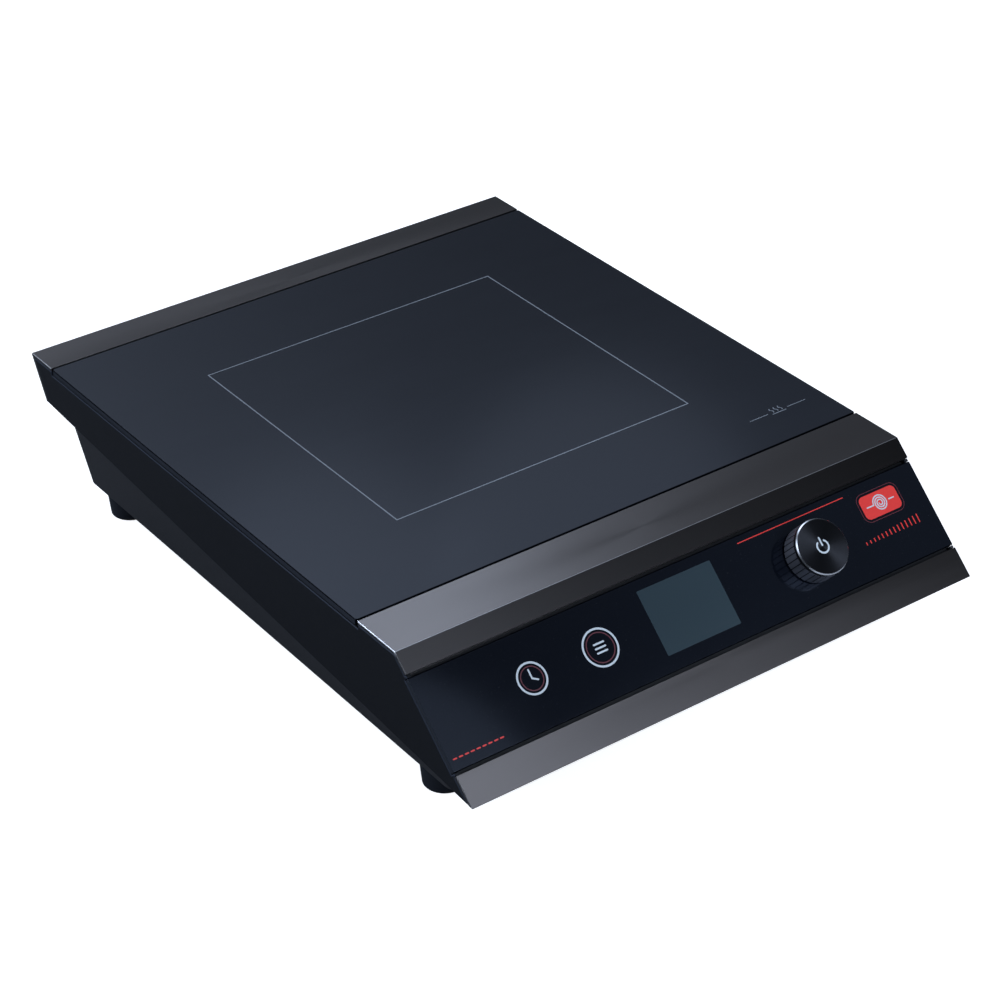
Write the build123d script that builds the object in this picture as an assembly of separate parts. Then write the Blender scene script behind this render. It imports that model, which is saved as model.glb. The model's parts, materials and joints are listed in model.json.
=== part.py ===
from build123d import *
import math
import os

# Countertop induction hob, every separate piece in millimetres.
# Frame: origin on the bench under the middle of the hob, +X to the user's right, +Y to the back, +Z up.
# The front slope has its own frame: x as above, s down the slope from its fold, n out of its face.
# The side panels' underside line has one too: x as above, v back from the front bottom edge, h up from it.

# Overall size
width = 350.0
depth = 460.0
height = 100.0
half_width = width / 2

# Front slope and the underside line of the side panels
slope_angle = math.radians(42.6)
slope_length = 90.0
rear_corner_inset = 14.1
rear_corner_height = 72.0

# How cutting shapes run past what they cut, and how far joined stretches of one piece run into each other
margin = 1.0
overshoot = 10.0
weld = 0.5

# Sheets, glass and gaps
trim_thickness = 2.0
trim_edge_break = 0.4
fold_radius = 0.8
panel_thickness = 3.0
panel_edge_break = 0.5
seam = 0.25
panel_tooth_drop = 1.0
side_clearance = 0.5
glass_thickness = 4.0
glass_edge_break = 0.5
glass_corner_radius = 1.75
coil_side_gap = 0.1
top_seal_thickness = 0.9
seal_inset = 0.9
seal_width = 9.0
glass_gap = 1.2

# Trims
rear_trim_depth = 25.2
upper_trim_depth = 34.7
upper_lip_length = 13.1
lower_trim_start = 71.3
front_return_length = 17.0
rear_return_length = 12.0
return_bend_run = 8.0
front_screw_v = 12.0
rear_screw_v = 437.5
case_screw_x = 140.0
shelf_reach = 12.0
shelf_thickness = 2.0
web_inset = 4.7
control_ledge_width = 3.7
flange_hole_skin = 0.5

# Control glass, measured down the slope
control_glass_start = 15.3
control_glass_end = 69.3
control_glass_recess = 0.6
control_glass_thickness = 3.0
control_seal_thickness = 0.6
control_seal_width = 3.0
control_glass_corner_radius = 0.8
bushing_hole_gap = 0.5

# Tub
tub_thickness = 1.5
tub_floor_half_width = 164.0
tub_floor_front = -198.0
tub_floor_rear = 193.0
tub_rim_half_width = 171.5
tub_rim_front = 26.0
tub_rim_rear = 428.9
tub_rim_rise = 10.0
tub_corner_radius = 8.0
ledge_height = 2.1
ledge_thickness = 1.5
front_ledge_start = 8.5
rear_ledge_end = 441.0
control_bay_end = 66.4
control_bay_depth = 26.0
panel_screw_v = (60.0, 225.0, 395.0)
panel_screw_h = 5.5

# Vents: intake slots below the fan, exhaust slots behind the heat sink
intake_slot_width = 3.0
intake_slot_pitch = 7.0
intake_slots_each_side = 5
intake_rim = 2.0
exhaust_slot_width = 3.0
exhaust_slot_length = 24.0
exhaust_slot_pitch = 7.2
exhaust_slot_count = 12
exhaust_slot_z = 48.0
exhaust_start = 4.0

# Fasteners: head radius, head height and shank radius, and the radial gaps of the holes they sit in
foot_screw = (4.6, 3.0, 2.5)
large_screw = (3.6, 2.2, 1.95)
fan_screw = (3.6, 2.2, 2.0)
case_screw = (3.4, 2.0, 1.85)
small_screw = (2.8, 1.6, 1.45)
board_screw = (2.6, 1.6, 1.15)
head_bevel_share = 0.3
recess_arm_share = 1.1
recess_width_share = 0.28
recess_rise_share = 1.05
snug = 0.05
loose = 0.25
foot_screw_length = 22.0
pillar_screw_length = 8.0
standoff_screw_length = 5.5
case_screw_length = 3.8
small_screw_length = 4.3
board_screw_length = 6.0
fan_screw_length = 22.0
foot_nut_flats = 8.0
foot_nut_height = 4.0
case_hole_depth = 2.2
panel_hole_depth = 2.0

# Feet
foot_height = 23.5
foot_bottom_radius = 12.5
foot_top_radius = 14.5
foot_edge_radius = 1.2
foot_recess_radius = 5.2
foot_recess_depth = 9.0
foot_x = 144.0
front_foot_y = -160.5
rear_foot_y = 178.0

# Corner brackets
bracket_thickness = 3.0
bracket_half_length = 3.0
bracket_screw_x = 158.0
bracket_screw_z = 85.0
bracket_top_leg = 6.0
bracket_side_leg = 7.0
bracket_front_setback = 16.0
bracket_rear_setback = 17.0

# Cooking zone and coil stack, heights measured up from the bench
zone_y = 39.2
mica_thickness = 0.5
coil_outer_turns = 17
coil_first_radius = 24.0
coil_pitch = 4.1
litz_radius = 1.9
lead_radius = 1.5
lead_bend = 3.0
lead_side_step = 8.0
lead_drop = 12.0
inner_lead_x = 13.0
inner_lead_step = 4.5
coil_centre_z = 92.6
carrier_radius = 98.0
carrier_bore = 19.0
carrier_top = 90.6
carrier_thickness = 3.0
carrier_eye_radius = 7.0
sensor_hole_radius = 4.0
spring_pin_radius = 3.4
spring_pin_length = 4.0
mica_bore = 8.0
ferrite_thickness = 5.0
ferrite_length = 60.0
ferrite_width = 12.0
ferrite_inner_radius = 32.0
ferrite_count = 8
tray_top = 77.5
tray_thickness = 1.5
tray_half_width = 125.0
tray_front = -78.0
tray_rear = 158.0
tray_flange = 8.0
tray_hole_x = 106.0
tray_lead_hole = 8.0
tray_sensor_hole = 9.0
coil_spring_circle = 70.0
coil_spring_radius = 4.5
coil_spring_wire = 0.5
coil_spring_turns = 4
coil_spring_angles = (90, 225, 315)

# Temperature sensor
sensor_radius = 5.0
sensor_thickness = 1.4
sensor_stem_radius = 2.0
sensor_stem_length = 3.0
sensor_lead_radius = 0.9
sensor_lead_z = 60.0
sensor_lead_bend = 4.0
sensor_socket_y = zone_y - 12.0
holder_outer = 6.5
holder_inner = 3.5

# Pillars and power board
pillar_x = 118.0
pillar_front = -60.0
pillar_rear = 128.0
pillar_flats = 8.0
board_half_width = 110.0
board_front = -25.0
board_rear = 160.0
board_thickness = 1.6
standoff_height = 10.0
standoff_flats = 6.0
standoff_x = 104.0
standoff_front = -19.0
standoff_rear = 120.0
terminal_x = 92.0
terminal_pitch = 14.0
terminal_radius = 3.5
terminal_height = 8.0
socket_height = 7.0
socket_half_depth = 4.0
cable_socket_gap = 0.6
terminal_block_corner = (86.0, 140.0)
terminal_block_size = (22.0, 19.0, 13.0)
terminal_hole_radius = 2.0
terminal_hole_depth = 4.0
mains_entries = ((104.0, 156.0), (98.0, 151.0), (92.0, 146.0))
component_edge_break = 0.8

# Packages under the heat sink: width, length, thickness and pins
transistor_size = (16.0, 21.0, 5.0, 3)
transistor_x = -62.0
transistor_ys = (20.0, 60.0)
rectifier_size = (28.0, 22.0, 6.0, 4)
rectifier_corner = (-68.0, 105.0)
pin_half_width = 0.6
pin_start = 0.5
pin_end = 1.2

# Components on the open part of the power board: x, y of a corner, width, length and height
capacitors = ((10, 110, 42, 28, 30), (10, 84, 42, 20, 28), (10, 60, 42, 20, 28), (60, 60, 26, 12, 20))
standby_transformer = (60.0, -12.0, 20.0, 24.0, 16.0)
choke_ring_radius = 12.0
choke_tube_radius = 5.0
choke_x = 80.0
choke_y = 112.0

# Heat sink on the power board
sink_left = -98.0
sink_right = -12.0
sink_front = -20.0
sink_rear = 150.0
sink_base_bottom = 44.0
sink_base_thickness = 5.0
sink_top = 65.0
fin_thickness = 2.0
fin_pitch = 6.0
sink_leg_thickness = 3.0

# Fan
fan_x = -58.0
fan_y = -80.0
fan_size = 92.0
fan_thickness = 25.0
fan_hole_offset = 41.25
fan_bore_radius = 43.5
fan_blade_radius = 42.0
fan_hub_radius = 19.5
fan_hub_bottom = 5.5
fan_hub_top = 23.0
fan_hub_wall = 2.5
fan_hub_roof = 3.0
fan_hub_bevel = 1.5
fan_blade_count = 7
fan_blade_pitch = 52.0
fan_blade_thickness = 1.6
fan_blade_bottom = 6.0
fan_blade_top = 22.0
fan_shaft_radius = 1.5
fan_shaft_end = 1.5
fan_corner_radius = 4.0
fan_strut_half_width = 3.0
fan_strut_height = 4.0
fan_boss_radius = 3.8
fan_boss_top = 13.0
fan_disc_radius = 18.0
fan_stator_radius = 15.0
fan_stator_bottom = 6.0
fan_stator_top = 17.0
fan_stator_slots = 4
fan_gap_above_floor = 0.3

# Air duct over the fan and the heat sink
duct_wall = 1.2
duct_gap = 1.5
duct_roof_gap = 3.0
duct_skirt = 18.0
duct_rise_over_board = 3.6
duct_tail = 4.0

# Knob and rotary encoder, on the slope
knob_x = 83.3
knob_s = 41.4
knob_radius = 16.8
knob_bottom = 0.5
knob_top = 14.4
knob_bevel = 0.9
knob_groove_count = 30
knob_groove_width = 0.6
knob_groove_depth = 0.6
knob_collar_height = 2.2
knob_line_width = 0.3
knob_line_depth = 0.25
knob_wall = 2.3
knob_roof = 2.5
hub_bottom = 4.5
hub_skirt_bottom = 1.5
hub_skirt_wall = 2.0
socket_gap = 0.02
shaft_radius = 3.0
shaft_top = 11.5
shaft_flat = 1.5
shaft_shoulder = -6.3
neck_radius = 1.5
neck_end = -9.0
collar_radius = 2.4
shaft_end = -9.6
knob_travel = 0.8
running_clearance = 0.05
plunger_radius = 5.15
encoder_half_width = 6.5
encoder_body_top = -5.0
encoder_cavity_top = -6.0
encoder_floor = 0.3
dome_rim_radius = 3.6
dome_rim_thickness = 0.3
dome_crown_radius = 2.6
bushing_radius = 3.5
bushing_top = 2.5
bushing_thread_gap = 0.03
encoder_nut_flats = 10.0
encoder_nut_top = 1.3

# Control board, on the slope
control_board_left = -150.0
control_board_right = 120.0
control_board_start = 20.9
control_board_end = 63.6
control_board_top = -12.0
display_x = -3.2
display_s = 40.9
display_width = 58.0
display_length = 40.0
display_window_width = 51.0
display_window_length = 38.8
clock_x = -109.4
menu_x = -64.0
touch_s = 41.2
touch_spring_radius = 4.0
touch_spring_wire = 0.4
touch_spring_turns = 4
display_bottom = -10.5
display_top = -4.1
display_leg_radius = 1.2
display_leg_inset = 3.0
buzzer_x = -133.0
buzzer_s = 42.0
buzzer_radius = 6.0
buzzer_height = 5.5
buzzer_port_radius = 1.0
buzzer_port_depth = 1.5
control_screw_inset_x = 5.0
control_screw_inset_s = 4.0
carrier_floor_top = -18.5
carrier_floor_thickness = 1.5
carrier_wall = 1.2
carrier_gap = 0.3
carrier_boss_radius = 3.0
carrier_slot_half_length = 6.0

# Flat cable from the control board to the power board
cable_left = 22.0
cable_right = 38.0
cable_thickness = 1.0
cable_s = 46.0
cable_drop = -30.0
cable_bend_y = -150.0
cable_run_z = 44.0
cable_rise_y = -30.0
cable_board_y = -18.5
cable_board_z = 41.6
control_socket_depth = 3.0
cable_end_gap = 0.1

# Mains inlet in the rear wall of the tub
inlet_x = 118.0
inlet_z = 47.0
inlet_face_y = tub_floor_rear + 5.2
inlet_screw_offsets = (-20.0, 20.0)
inlet_flange_half_width = 25.0
inlet_flange_half_height = 12.0
inlet_flange_bevel = 3.0
inlet_body_half_width = 14.0
inlet_body_half_height = 10.0
inlet_body_front = 170.0
inlet_wall = 2.0
inlet_floor = 6.0
inlet_hole_gap = 0.5
blade_half_width = 2.0
blade_half_thickness = 1.0
blade_gap = 0.1
blade_pitch = 7.0
blade_drop = 2.0
blade_rise = 2.5
blade_front = 162.0
blade_rear = 188.0
mains_lead_radius = 1.5
mains_lead_bend = 2.4
mains_lead_z = 60.0

# Places worked out from the sizes above
fold_y = -depth / 2 + slope_length * math.cos(slope_angle)
front_corner = (-depth / 2, height - slope_length * math.sin(slope_angle))
rear_corner = (depth / 2 - rear_corner_inset, rear_corner_height)
underside_angle = math.atan2(rear_corner[1] - front_corner[1], rear_corner[0] - front_corner[0])
rear_trim_front = depth / 2 - rear_trim_depth
upper_trim_rear = fold_y + upper_trim_depth
glass_bottom = height - glass_thickness
glass_seat = glass_bottom - top_seal_thickness
control_glass_bottom = -control_glass_recess - control_glass_thickness
control_seat = control_glass_bottom - control_seal_thickness
inner_half_width = half_width - panel_thickness - side_clearance
floor_top = foot_height + tub_thickness
board_top = floor_top + standoff_height + board_thickness
control_board_bottom = control_board_top - board_thickness
carrier_bottom = carrier_top - carrier_thickness

slope = Plane(
    origin=(0, fold_y, height),
    x_dir=(1, 0, 0),
    z_dir=(0, -math.sin(slope_angle), math.cos(slope_angle)),
)
underside = Plane(
    origin=(0, front_corner[0], front_corner[1]),
    x_dir=(1, 0, 0),
    z_dir=(0, -math.sin(underside_angle), math.cos(underside_angle)),
)


# Helpers


def block(x0, x1, y0, y1, z0, z1):
    """A block between two corners."""
    centre = Pos((x0 + x1) / 2, (y0 + y1) / 2, (z0 + z1) / 2)
    return centre * Box(x1 - x0, y1 - y0, z1 - z0)


def disc(radius, z0, z1, x=0.0, y=0.0):
    """A round bar standing along Z."""
    return Pos(x, y, (z0 + z1) / 2) * Cylinder(radius, z1 - z0)


def tube(outer, inner, z0, z1, x=0.0, y=0.0):
    """A round tube standing along Z."""
    return disc(outer, z0, z1, x, y) - disc(inner, z0 - margin, z1 + margin, x, y)


def hexagon(flats, bore, z0, z1, x=0.0, y=0.0):
    """A hexagonal bar with a bore, standing along Z."""
    outline = RegularPolygon(radius=flats / 2, side_count=6, major_radius=False)
    bar = Pos(x, y, z0) * extrude(outline, amount=z1 - z0)
    return bar - disc(bore, z0 - margin, z1 + margin, x, y)


def slope_block(x0, x1, s0, s1, n0, n1):
    """A block in the slope's frame."""
    return slope.location * block(x0, x1, -s1, -s0, n0, n1)


def on_slope(shape, x, s):
    """Stands a shape on the slope: its own Z becomes n."""
    return slope.location * Pos(x, -s, 0) * shape


def slope_point(s, n):
    """(y, z) of a point in the slope's frame."""
    y = fold_y - s * math.cos(slope_angle) - n * math.sin(slope_angle)
    z = height - s * math.sin(slope_angle) + n * math.cos(slope_angle)
    return (y, z)


def underside_point(v, h):
    """(y, z) of a point in the underside's frame."""
    y = front_corner[0] + v * math.cos(underside_angle) - h * math.sin(underside_angle)
    z = front_corner[1] + v * math.sin(underside_angle) + h * math.cos(underside_angle)
    return (y, z)


def prism(points, x0, x1):
    """Pushes a closed (y, z) outline along X."""
    outline = Plane.YZ * Polygon(*points)
    return Pos(x0, 0, 0) * extrude(outline, amount=x1 - x0, dir=(1, 0, 0))


def left_normal(start, end):
    """Unit vector to the left of the way from start to end."""
    dy = end[0] - start[0]
    dz = end[1] - start[1]
    length = math.hypot(dy, dz)
    return (-dz / length, dy / length)


def bent_sheet(points, thickness):
    """Closed outline of a bent sheet: its outer face follows the points, its inner face is to their left."""
    inner = []
    for i, point in enumerate(points):
        first = left_normal(points[max(i - 1, 0)], points[max(i, 1)])
        last = len(points) - 1
        second = left_normal(points[min(i, last - 1)], points[min(i + 1, last)])
        share = thickness / (1 + first[0] * second[0] + first[1] * second[1])
        y = point[0] + (first[0] + second[0]) * share
        z = point[1] + (first[1] + second[1]) * share
        inner.append((y, z))
    return list(points) + inner[::-1]


def edge_near(part, point):
    """The edge whose middle is nearest to a point."""
    target = Vector(*point)
    return min(part.edges(), key=lambda edge: (edge.center() - target).length)


def break_ends(part, size):
    """Chamfers the two end faces of a piece that runs along X."""
    ends = part.faces().sort_by(Axis.X)
    edges = ends[0].edges() + ends[-1].edges()
    return chamfer(edges, size)


def framed(outer, border, z0, z1):
    """A flat rectangular frame; outer is (x0, x1, y0, y1)."""
    x0, x1, y0, y1 = outer
    whole = block(x0, x1, y0, y1, z0, z1)
    hole = block(x0 + border, x1 - border, y0 + border, y1 - border, z0 - margin, z1 + margin)
    return whole - hole


def screw(kind, shank_length):
    """A pan-head screw: head above z = 0 with a cross recess, shank below."""
    head_radius, head_height, shank_radius = kind
    bevel = head_height * head_bevel_share
    arm = head_radius * recess_arm_share
    slot = head_radius * recess_width_share
    recess_z = head_height * recess_rise_share
    head = disc(head_radius, 0, head_height)
    head = chamfer(head.faces().sort_by(Axis.Z)[-1].edges(), bevel)
    recess = Pos(0, 0, recess_z) * (Box(arm, slot, head_height) + Box(slot, arm, head_height))
    shank = disc(shank_radius, -shank_length, 0)
    return head + shank - recess


def wire(points, radius, bend):
    """A round cable through the points, with rounded bends."""
    path = FilletPolyline(*points, radius=bend)
    start = Plane(origin=path @ 0, z_dir=path % 0)
    return sweep(start * Circle(radius), path=path)


def spring(radius, wire_radius, turns, z0, z1):
    """A round-wire compression spring standing along Z."""
    length = z1 - z0 - 2 * wire_radius
    path = Pos(0, 0, z0 + wire_radius) * Helix(pitch=length / turns, height=length, radius=radius)
    start = Plane(origin=path @ 0, z_dir=path % 0)
    return sweep(start * Circle(wire_radius), path=path)


def group(shapes):
    """Separate solids that share one node."""
    solids = []
    for shape in shapes:
        solids.extend(shape.solids())
    return Compound(children=solids)


# Outer skin: envelope, trims and side panels


def envelope(x0, x1):
    """The whole outer shape above the underside line."""
    fold = (fold_y, height)
    rear_top = (depth / 2, height)
    return prism([fold, front_corner, rear_corner, rear_top], x0, x1)


def beyond(start, end, extra):
    """A point past end, on the line from start to end."""
    length = math.hypot(end[0] - start[0], end[1] - start[1])
    share = 1 + extra / length
    return (start[0] + (end[0] - start[0]) * share, start[1] + (end[1] - start[1]) * share)


def upper_trim_outline():
    return [(upper_trim_rear, height), (fold_y, height), slope_point(upper_lip_length, 0)]


def lower_trim_outline():
    return [slope_point(lower_trim_start, 0), slope_point(slope_length + overshoot, 0)]


def rear_trim_outline():
    rear_top = (depth / 2, height)
    return [beyond(rear_top, rear_corner, overshoot), rear_top, (rear_trim_front, height)]


def skin(outline, thickness, x0, x1):
    """The part of the envelope that lies within a thickness of an outer outline."""
    return prism(bent_sheet(outline, thickness), x0, x1) & envelope(x0, x1)


def top_shelf(web_y, reach_y):
    """A web down from a top flange and a ledge on it that carries the top glass and its seal."""
    low, high = sorted((web_y, reach_y))
    side = 1 if reach_y > web_y else -1
    web_low, web_high = sorted((web_y, web_y + side * shelf_thickness))
    web_bottom = glass_seat - shelf_thickness
    web_top = height - trim_thickness + weld
    x = inner_half_width
    web = block(-x, x, web_low, web_high, web_bottom, web_top)
    ledge = block(-x, x, low, high, web_bottom, glass_seat)
    return web + ledge


def slope_shelf(web_s, reach_s):
    """A web in from a slope lip and a ledge on it that carries the control glass and its seal."""
    low, high = sorted((web_s, reach_s))
    side = 1 if reach_s > web_s else -1
    web_low, web_high = sorted((web_s, web_s + side * shelf_thickness))
    web_bottom = control_seat - shelf_thickness
    x = inner_half_width
    web = slope_block(-x, x, web_low, web_high, web_bottom, -trim_thickness + weld)
    ledge = slope_block(-x, x, low, high, web_bottom, control_seat)
    return web + ledge


def bracket_screw_places():
    """Screw places of the four corner brackets: (side, y) for the panel leg and the flange leg alike."""
    front_y = fold_y + bracket_front_setback
    rear_y = depth / 2 - bracket_rear_setback
    return [(side, y) for side in (-1, 1) for y in (front_y, rear_y)]


def flange_screw_holes():
    """Blind holes in the top flanges for the corner brackets' screws."""
    radius = small_screw[2] + snug
    bottom = height - trim_thickness - margin
    top = height - flange_hole_skin
    places = [(side * bracket_screw_x, y) for side, y in bracket_screw_places()]
    return group([disc(radius, bottom, top, x, y) for x, y in places])


def ledge_screw_places(v):
    """Places of the screws that join a trim's return to a ledge of the tub."""
    return [(x, v) for x in (-case_screw_x, 0, case_screw_x)]


def return_screw_holes(v, radius):
    """Holes through a return or a ledge, square to the underside line."""
    top = ledge_height + ledge_thickness + margin
    holes = [disc(radius, -margin, top, x, v_place) for x, v_place in ledge_screw_places(v)]
    return underside.location * group(holes)


def make_front_upper_trim():
    trim = skin(upper_trim_outline(), trim_thickness, -half_width, half_width)
    trim = fillet(edge_near(trim, (0, fold_y, height)), fold_radius)
    trim = break_ends(trim, trim_edge_break)
    web_y = upper_trim_rear - web_inset
    trim += top_shelf(web_y, web_y + shelf_reach)
    web_s = upper_lip_length - web_inset
    trim += slope_shelf(web_s, control_glass_start + control_ledge_width)
    return trim - flange_screw_holes()


def make_front_lower_trim():
    trim = skin(lower_trim_outline(), trim_thickness, -half_width, half_width)
    trim = break_ends(trim, trim_edge_break)
    wall = slope_point(slope_length - return_bend_run, 0)
    bend = [wall, front_corner, underside_point(front_return_length, 0)]
    x = inner_half_width
    trim += prism(bent_sheet(bend, trim_thickness), -x, x)
    trim += slope_shelf(lower_trim_start + web_inset, control_glass_end - control_ledge_width)
    return trim - return_screw_holes(front_screw_v, case_screw[2] + loose)


def make_rear_trim():
    trim = skin(rear_trim_outline(), trim_thickness, -half_width, half_width)
    trim = fillet(edge_near(trim, (0, depth / 2, height)), fold_radius)
    trim = break_ends(trim, trim_edge_break)
    rear_v = math.hypot(rear_corner[0] - front_corner[0], rear_corner[1] - front_corner[1])
    wall = beyond((depth / 2, height), rear_corner, -return_bend_run)
    bend = [underside_point(rear_v - rear_return_length, 0), rear_corner, wall]
    x = inner_half_width
    trim += prism(bent_sheet(bend, trim_thickness), -x, x)
    web_y = rear_trim_front + web_inset
    trim += top_shelf(web_y, web_y - shelf_reach)
    return trim - flange_screw_holes() - return_screw_holes(rear_screw_v, case_screw[2] + loose)


def panel_screw_places():
    """(y, z) of the screws that hold each side panel to the tub's rim."""
    return [underside_point(v, panel_screw_h) for v in panel_screw_v]


def cross_hole(radius, half_depth, x, y, z):
    """A hole along X, reaching half_depth to both sides of x."""
    return Pos(x, y, z) * Rot(0, 90, 0) * Cylinder(radius, 2 * half_depth)


def make_side_panel(side):
    """A flat side panel: tucks under the trims, carries both glasses' edges, closes the gaps' ends."""
    outer = half_width
    inner = half_width - panel_thickness
    cover = trim_thickness + seam
    panel = envelope(inner, outer)
    x0 = inner - margin
    x1 = outer + margin
    for outline in (upper_trim_outline(), lower_trim_outline(), rear_trim_outline()):
        panel -= prism(bent_sheet(outline, cover), x0, x1)
    panel -= block(x0, x1, upper_trim_rear, rear_trim_front, glass_seat, height + margin)
    panel -= slope_block(x0, x1, control_glass_start - seam, control_glass_end + seam, control_seat, margin)
    panel -= slope_block(x0, x1, upper_lip_length, lower_trim_start, -panel_tooth_drop, margin)
    panel -= slope_block(x0, x1, 0, upper_lip_length + seam, -cover, margin)
    panel -= slope_block(x0, x1, lower_trim_start - seam, slope_length, -cover, margin)
    panel = chamfer(panel.faces().sort_by(Axis.X)[-1].edges(), panel_edge_break)
    for y, z in panel_screw_places():
        panel -= cross_hole(case_screw[2] + snug, case_hole_depth, inner, y, z)
    for place_side, y in bracket_screw_places():
        if place_side == 1:
            panel -= cross_hole(small_screw[2] + snug, panel_hole_depth, inner, y, bracket_screw_z)
    return panel if side > 0 else mirror(panel, Plane.YZ)


# Glasses and seals


def make_top_glass():
    y0 = upper_trim_rear + glass_gap
    y1 = rear_trim_front - glass_gap
    glass = block(-half_width, half_width, y0, y1, glass_bottom, height)
    glass = fillet(glass.edges().filter_by(Axis.Z), glass_corner_radius)
    faces = glass.faces().sort_by(Axis.Z)
    return chamfer(faces[0].edges() + faces[-1].edges(), glass_edge_break)


def make_seal(y0, y1, border, gap, z0, z1):
    """A seal under a glass's border, with strips that reach out below the gaps at its front and back."""
    x = half_width - seal_inset
    low = y0 + seal_inset
    high = y1 - seal_inset
    reach = seal_inset + gap - seam
    strip_x = inner_half_width
    seal = framed((-x, x, low, high), border, z0, z1)
    seal += block(-strip_x, strip_x, low - reach, low + margin, z0, z1)
    return seal + block(-strip_x, strip_x, high - margin, high + reach, z0, z1)


def make_top_glass_seal():
    y0 = upper_trim_rear + glass_gap
    y1 = rear_trim_front - glass_gap
    return make_seal(y0, y1, seal_width, glass_gap, glass_seat, glass_bottom)


def make_control_glass():
    glass = block(
        -half_width,
        half_width,
        -control_glass_end,
        -control_glass_start,
        control_glass_bottom,
        -control_glass_recess,
    )
    glass = fillet(glass.edges().filter_by(Axis.Z), control_glass_corner_radius)
    faces = glass.faces().sort_by(Axis.Z)
    glass = chamfer(faces[0].edges() + faces[-1].edges(), glass_edge_break)
    glass -= disc(bushing_radius + bushing_hole_gap, control_glass_bottom - margin, margin, knob_x, -knob_s)
    return slope.location * glass


def make_control_glass_seal():
    gap = lower_trim_start - control_glass_end
    border = control_seal_width
    bottom = control_seat
    seal = make_seal(-control_glass_end, -control_glass_start, border, gap, bottom, control_glass_bottom)
    return slope.location * seal


# Tub, feet and their fasteners


def tub_form(inset, floor_z, rise):
    """The tub as a full solid, inset from its outer faces, up to a rise above the underside line."""
    radius = tub_corner_radius - inset
    floor_width = 2 * (tub_floor_half_width - inset)
    floor_length = tub_floor_rear - tub_floor_front - 2 * inset
    floor_place = Pos(0, (tub_floor_front + tub_floor_rear) / 2, floor_z)
    floor_section = floor_place * RectangleRounded(floor_width, floor_length, radius)
    rim_width = 2 * (tub_rim_half_width - inset)
    rim_length = tub_rim_rear - tub_rim_front - 2 * inset
    rim_place = underside.location * Pos(0, (tub_rim_front + tub_rim_rear) / 2, 0)
    rim_section = rim_place * RectangleRounded(rim_width, rim_length, radius)
    body = loft([floor_section, rim_section], ruled=True)
    collar = extrude(rim_section, amount=rise)
    return body + collar


def intake_slots():
    """Slots in the floor below the fan, as long as the fan's bore is wide there."""
    slots = []
    depth_of_cut = tub_thickness + 2 * margin
    for i in range(-intake_slots_each_side, intake_slots_each_side + 1):
        offset = i * intake_slot_pitch
        half_length = math.sqrt((fan_bore_radius - intake_rim) ** 2 - offset**2)
        slot = extrude(SlotOverall(2 * half_length, intake_slot_width), amount=depth_of_cut)
        slots.append(Pos(fan_x, fan_y + offset, foot_height - margin) * slot)
    return slots


def exhaust_slots():
    """Upright slots in the rear wall behind the heat sink."""
    slots = []
    for i in range(exhaust_slot_count):
        x = sink_left + exhaust_start + i * exhaust_slot_pitch
        outline = SlotOverall(exhaust_slot_length, exhaust_slot_width, rotation=90)
        slot = extrude(Plane.XZ * Pos(x, exhaust_slot_z) * outline, amount=overshoot, both=True)
        slots.append(Pos(0, tub_floor_rear, 0) * slot)
    return slots


def pillar_places():
    return [(x, y) for x in (-pillar_x, pillar_x) for y in (pillar_front, pillar_rear)]


def standoff_places():
    return [(x, y) for x in (-standoff_x, standoff_x) for y in (standoff_front, standoff_rear)]


def fan_hole_places():
    offsets = (-fan_hole_offset, fan_hole_offset)
    return [(fan_x + dx, fan_y + dy) for dx in offsets for dy in offsets]


def foot_places():
    return [(x, y) for x in (-foot_x, foot_x) for y in (front_foot_y, rear_foot_y)]


def floor_holes(places, radius):
    """Holes through the tub's floor."""
    return [disc(radius, foot_height - margin, floor_top + margin, x, y) for x, y in places]


def tub_ledges():
    """Ledges at the front and back of the rim, which the trims' returns are screwed up against."""
    x = inner_half_width
    top = ledge_height + ledge_thickness
    front = block(-x, x, front_ledge_start, tub_rim_front + margin, ledge_height, top)
    rear = block(-x, x, tub_rim_rear - margin, rear_ledge_end, ledge_height, top)
    return underside.location * (front + rear)


def inlet_openings():
    """The mains inlet's opening in the rear wall, and its two screw holes."""
    half_x = inlet_body_half_width + inlet_hole_gap
    half_z = inlet_body_half_height + inlet_hole_gap
    cut = Pos(inlet_x, tub_floor_rear, inlet_z) * Box(2 * half_x, 2 * overshoot, 2 * half_z)
    radius = small_screw[2] + snug
    hole = Rot(90, 0, 0) * Cylinder(radius, overshoot)
    return [cut] + [Pos(inlet_x + dx, tub_floor_rear, inlet_z) * hole for dx in inlet_screw_offsets]


def make_base_tub():
    """One sheet tub: floor, four leaning walls and a rim square to the underside line."""
    tub = tub_form(0, foot_height, tub_rim_rise)
    tub -= tub_form(tub_thickness, floor_top, tub_rim_rise + margin)
    tub += tub_ledges()
    tub -= slope_block(-half_width, half_width, 0, control_bay_end, -control_bay_depth, overshoot)
    cuts = intake_slots() + exhaust_slots() + inlet_openings()
    cuts += floor_holes(foot_places(), foot_screw[2] + loose)
    cuts += floor_holes(pillar_places(), large_screw[2] + loose)
    cuts += floor_holes(standoff_places(), small_screw[2] + loose)
    cuts += floor_holes(fan_hole_places(), fan_screw[2] + loose)
    cuts += [cross_hole(case_screw[2] + loose, half_width, 0, y, z) for y, z in panel_screw_places()]
    for v in (front_screw_v, rear_screw_v):
        cuts.append(return_screw_holes(v, case_screw[2] + snug))
    for cut in cuts:
        tub -= cut
    return tub


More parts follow.
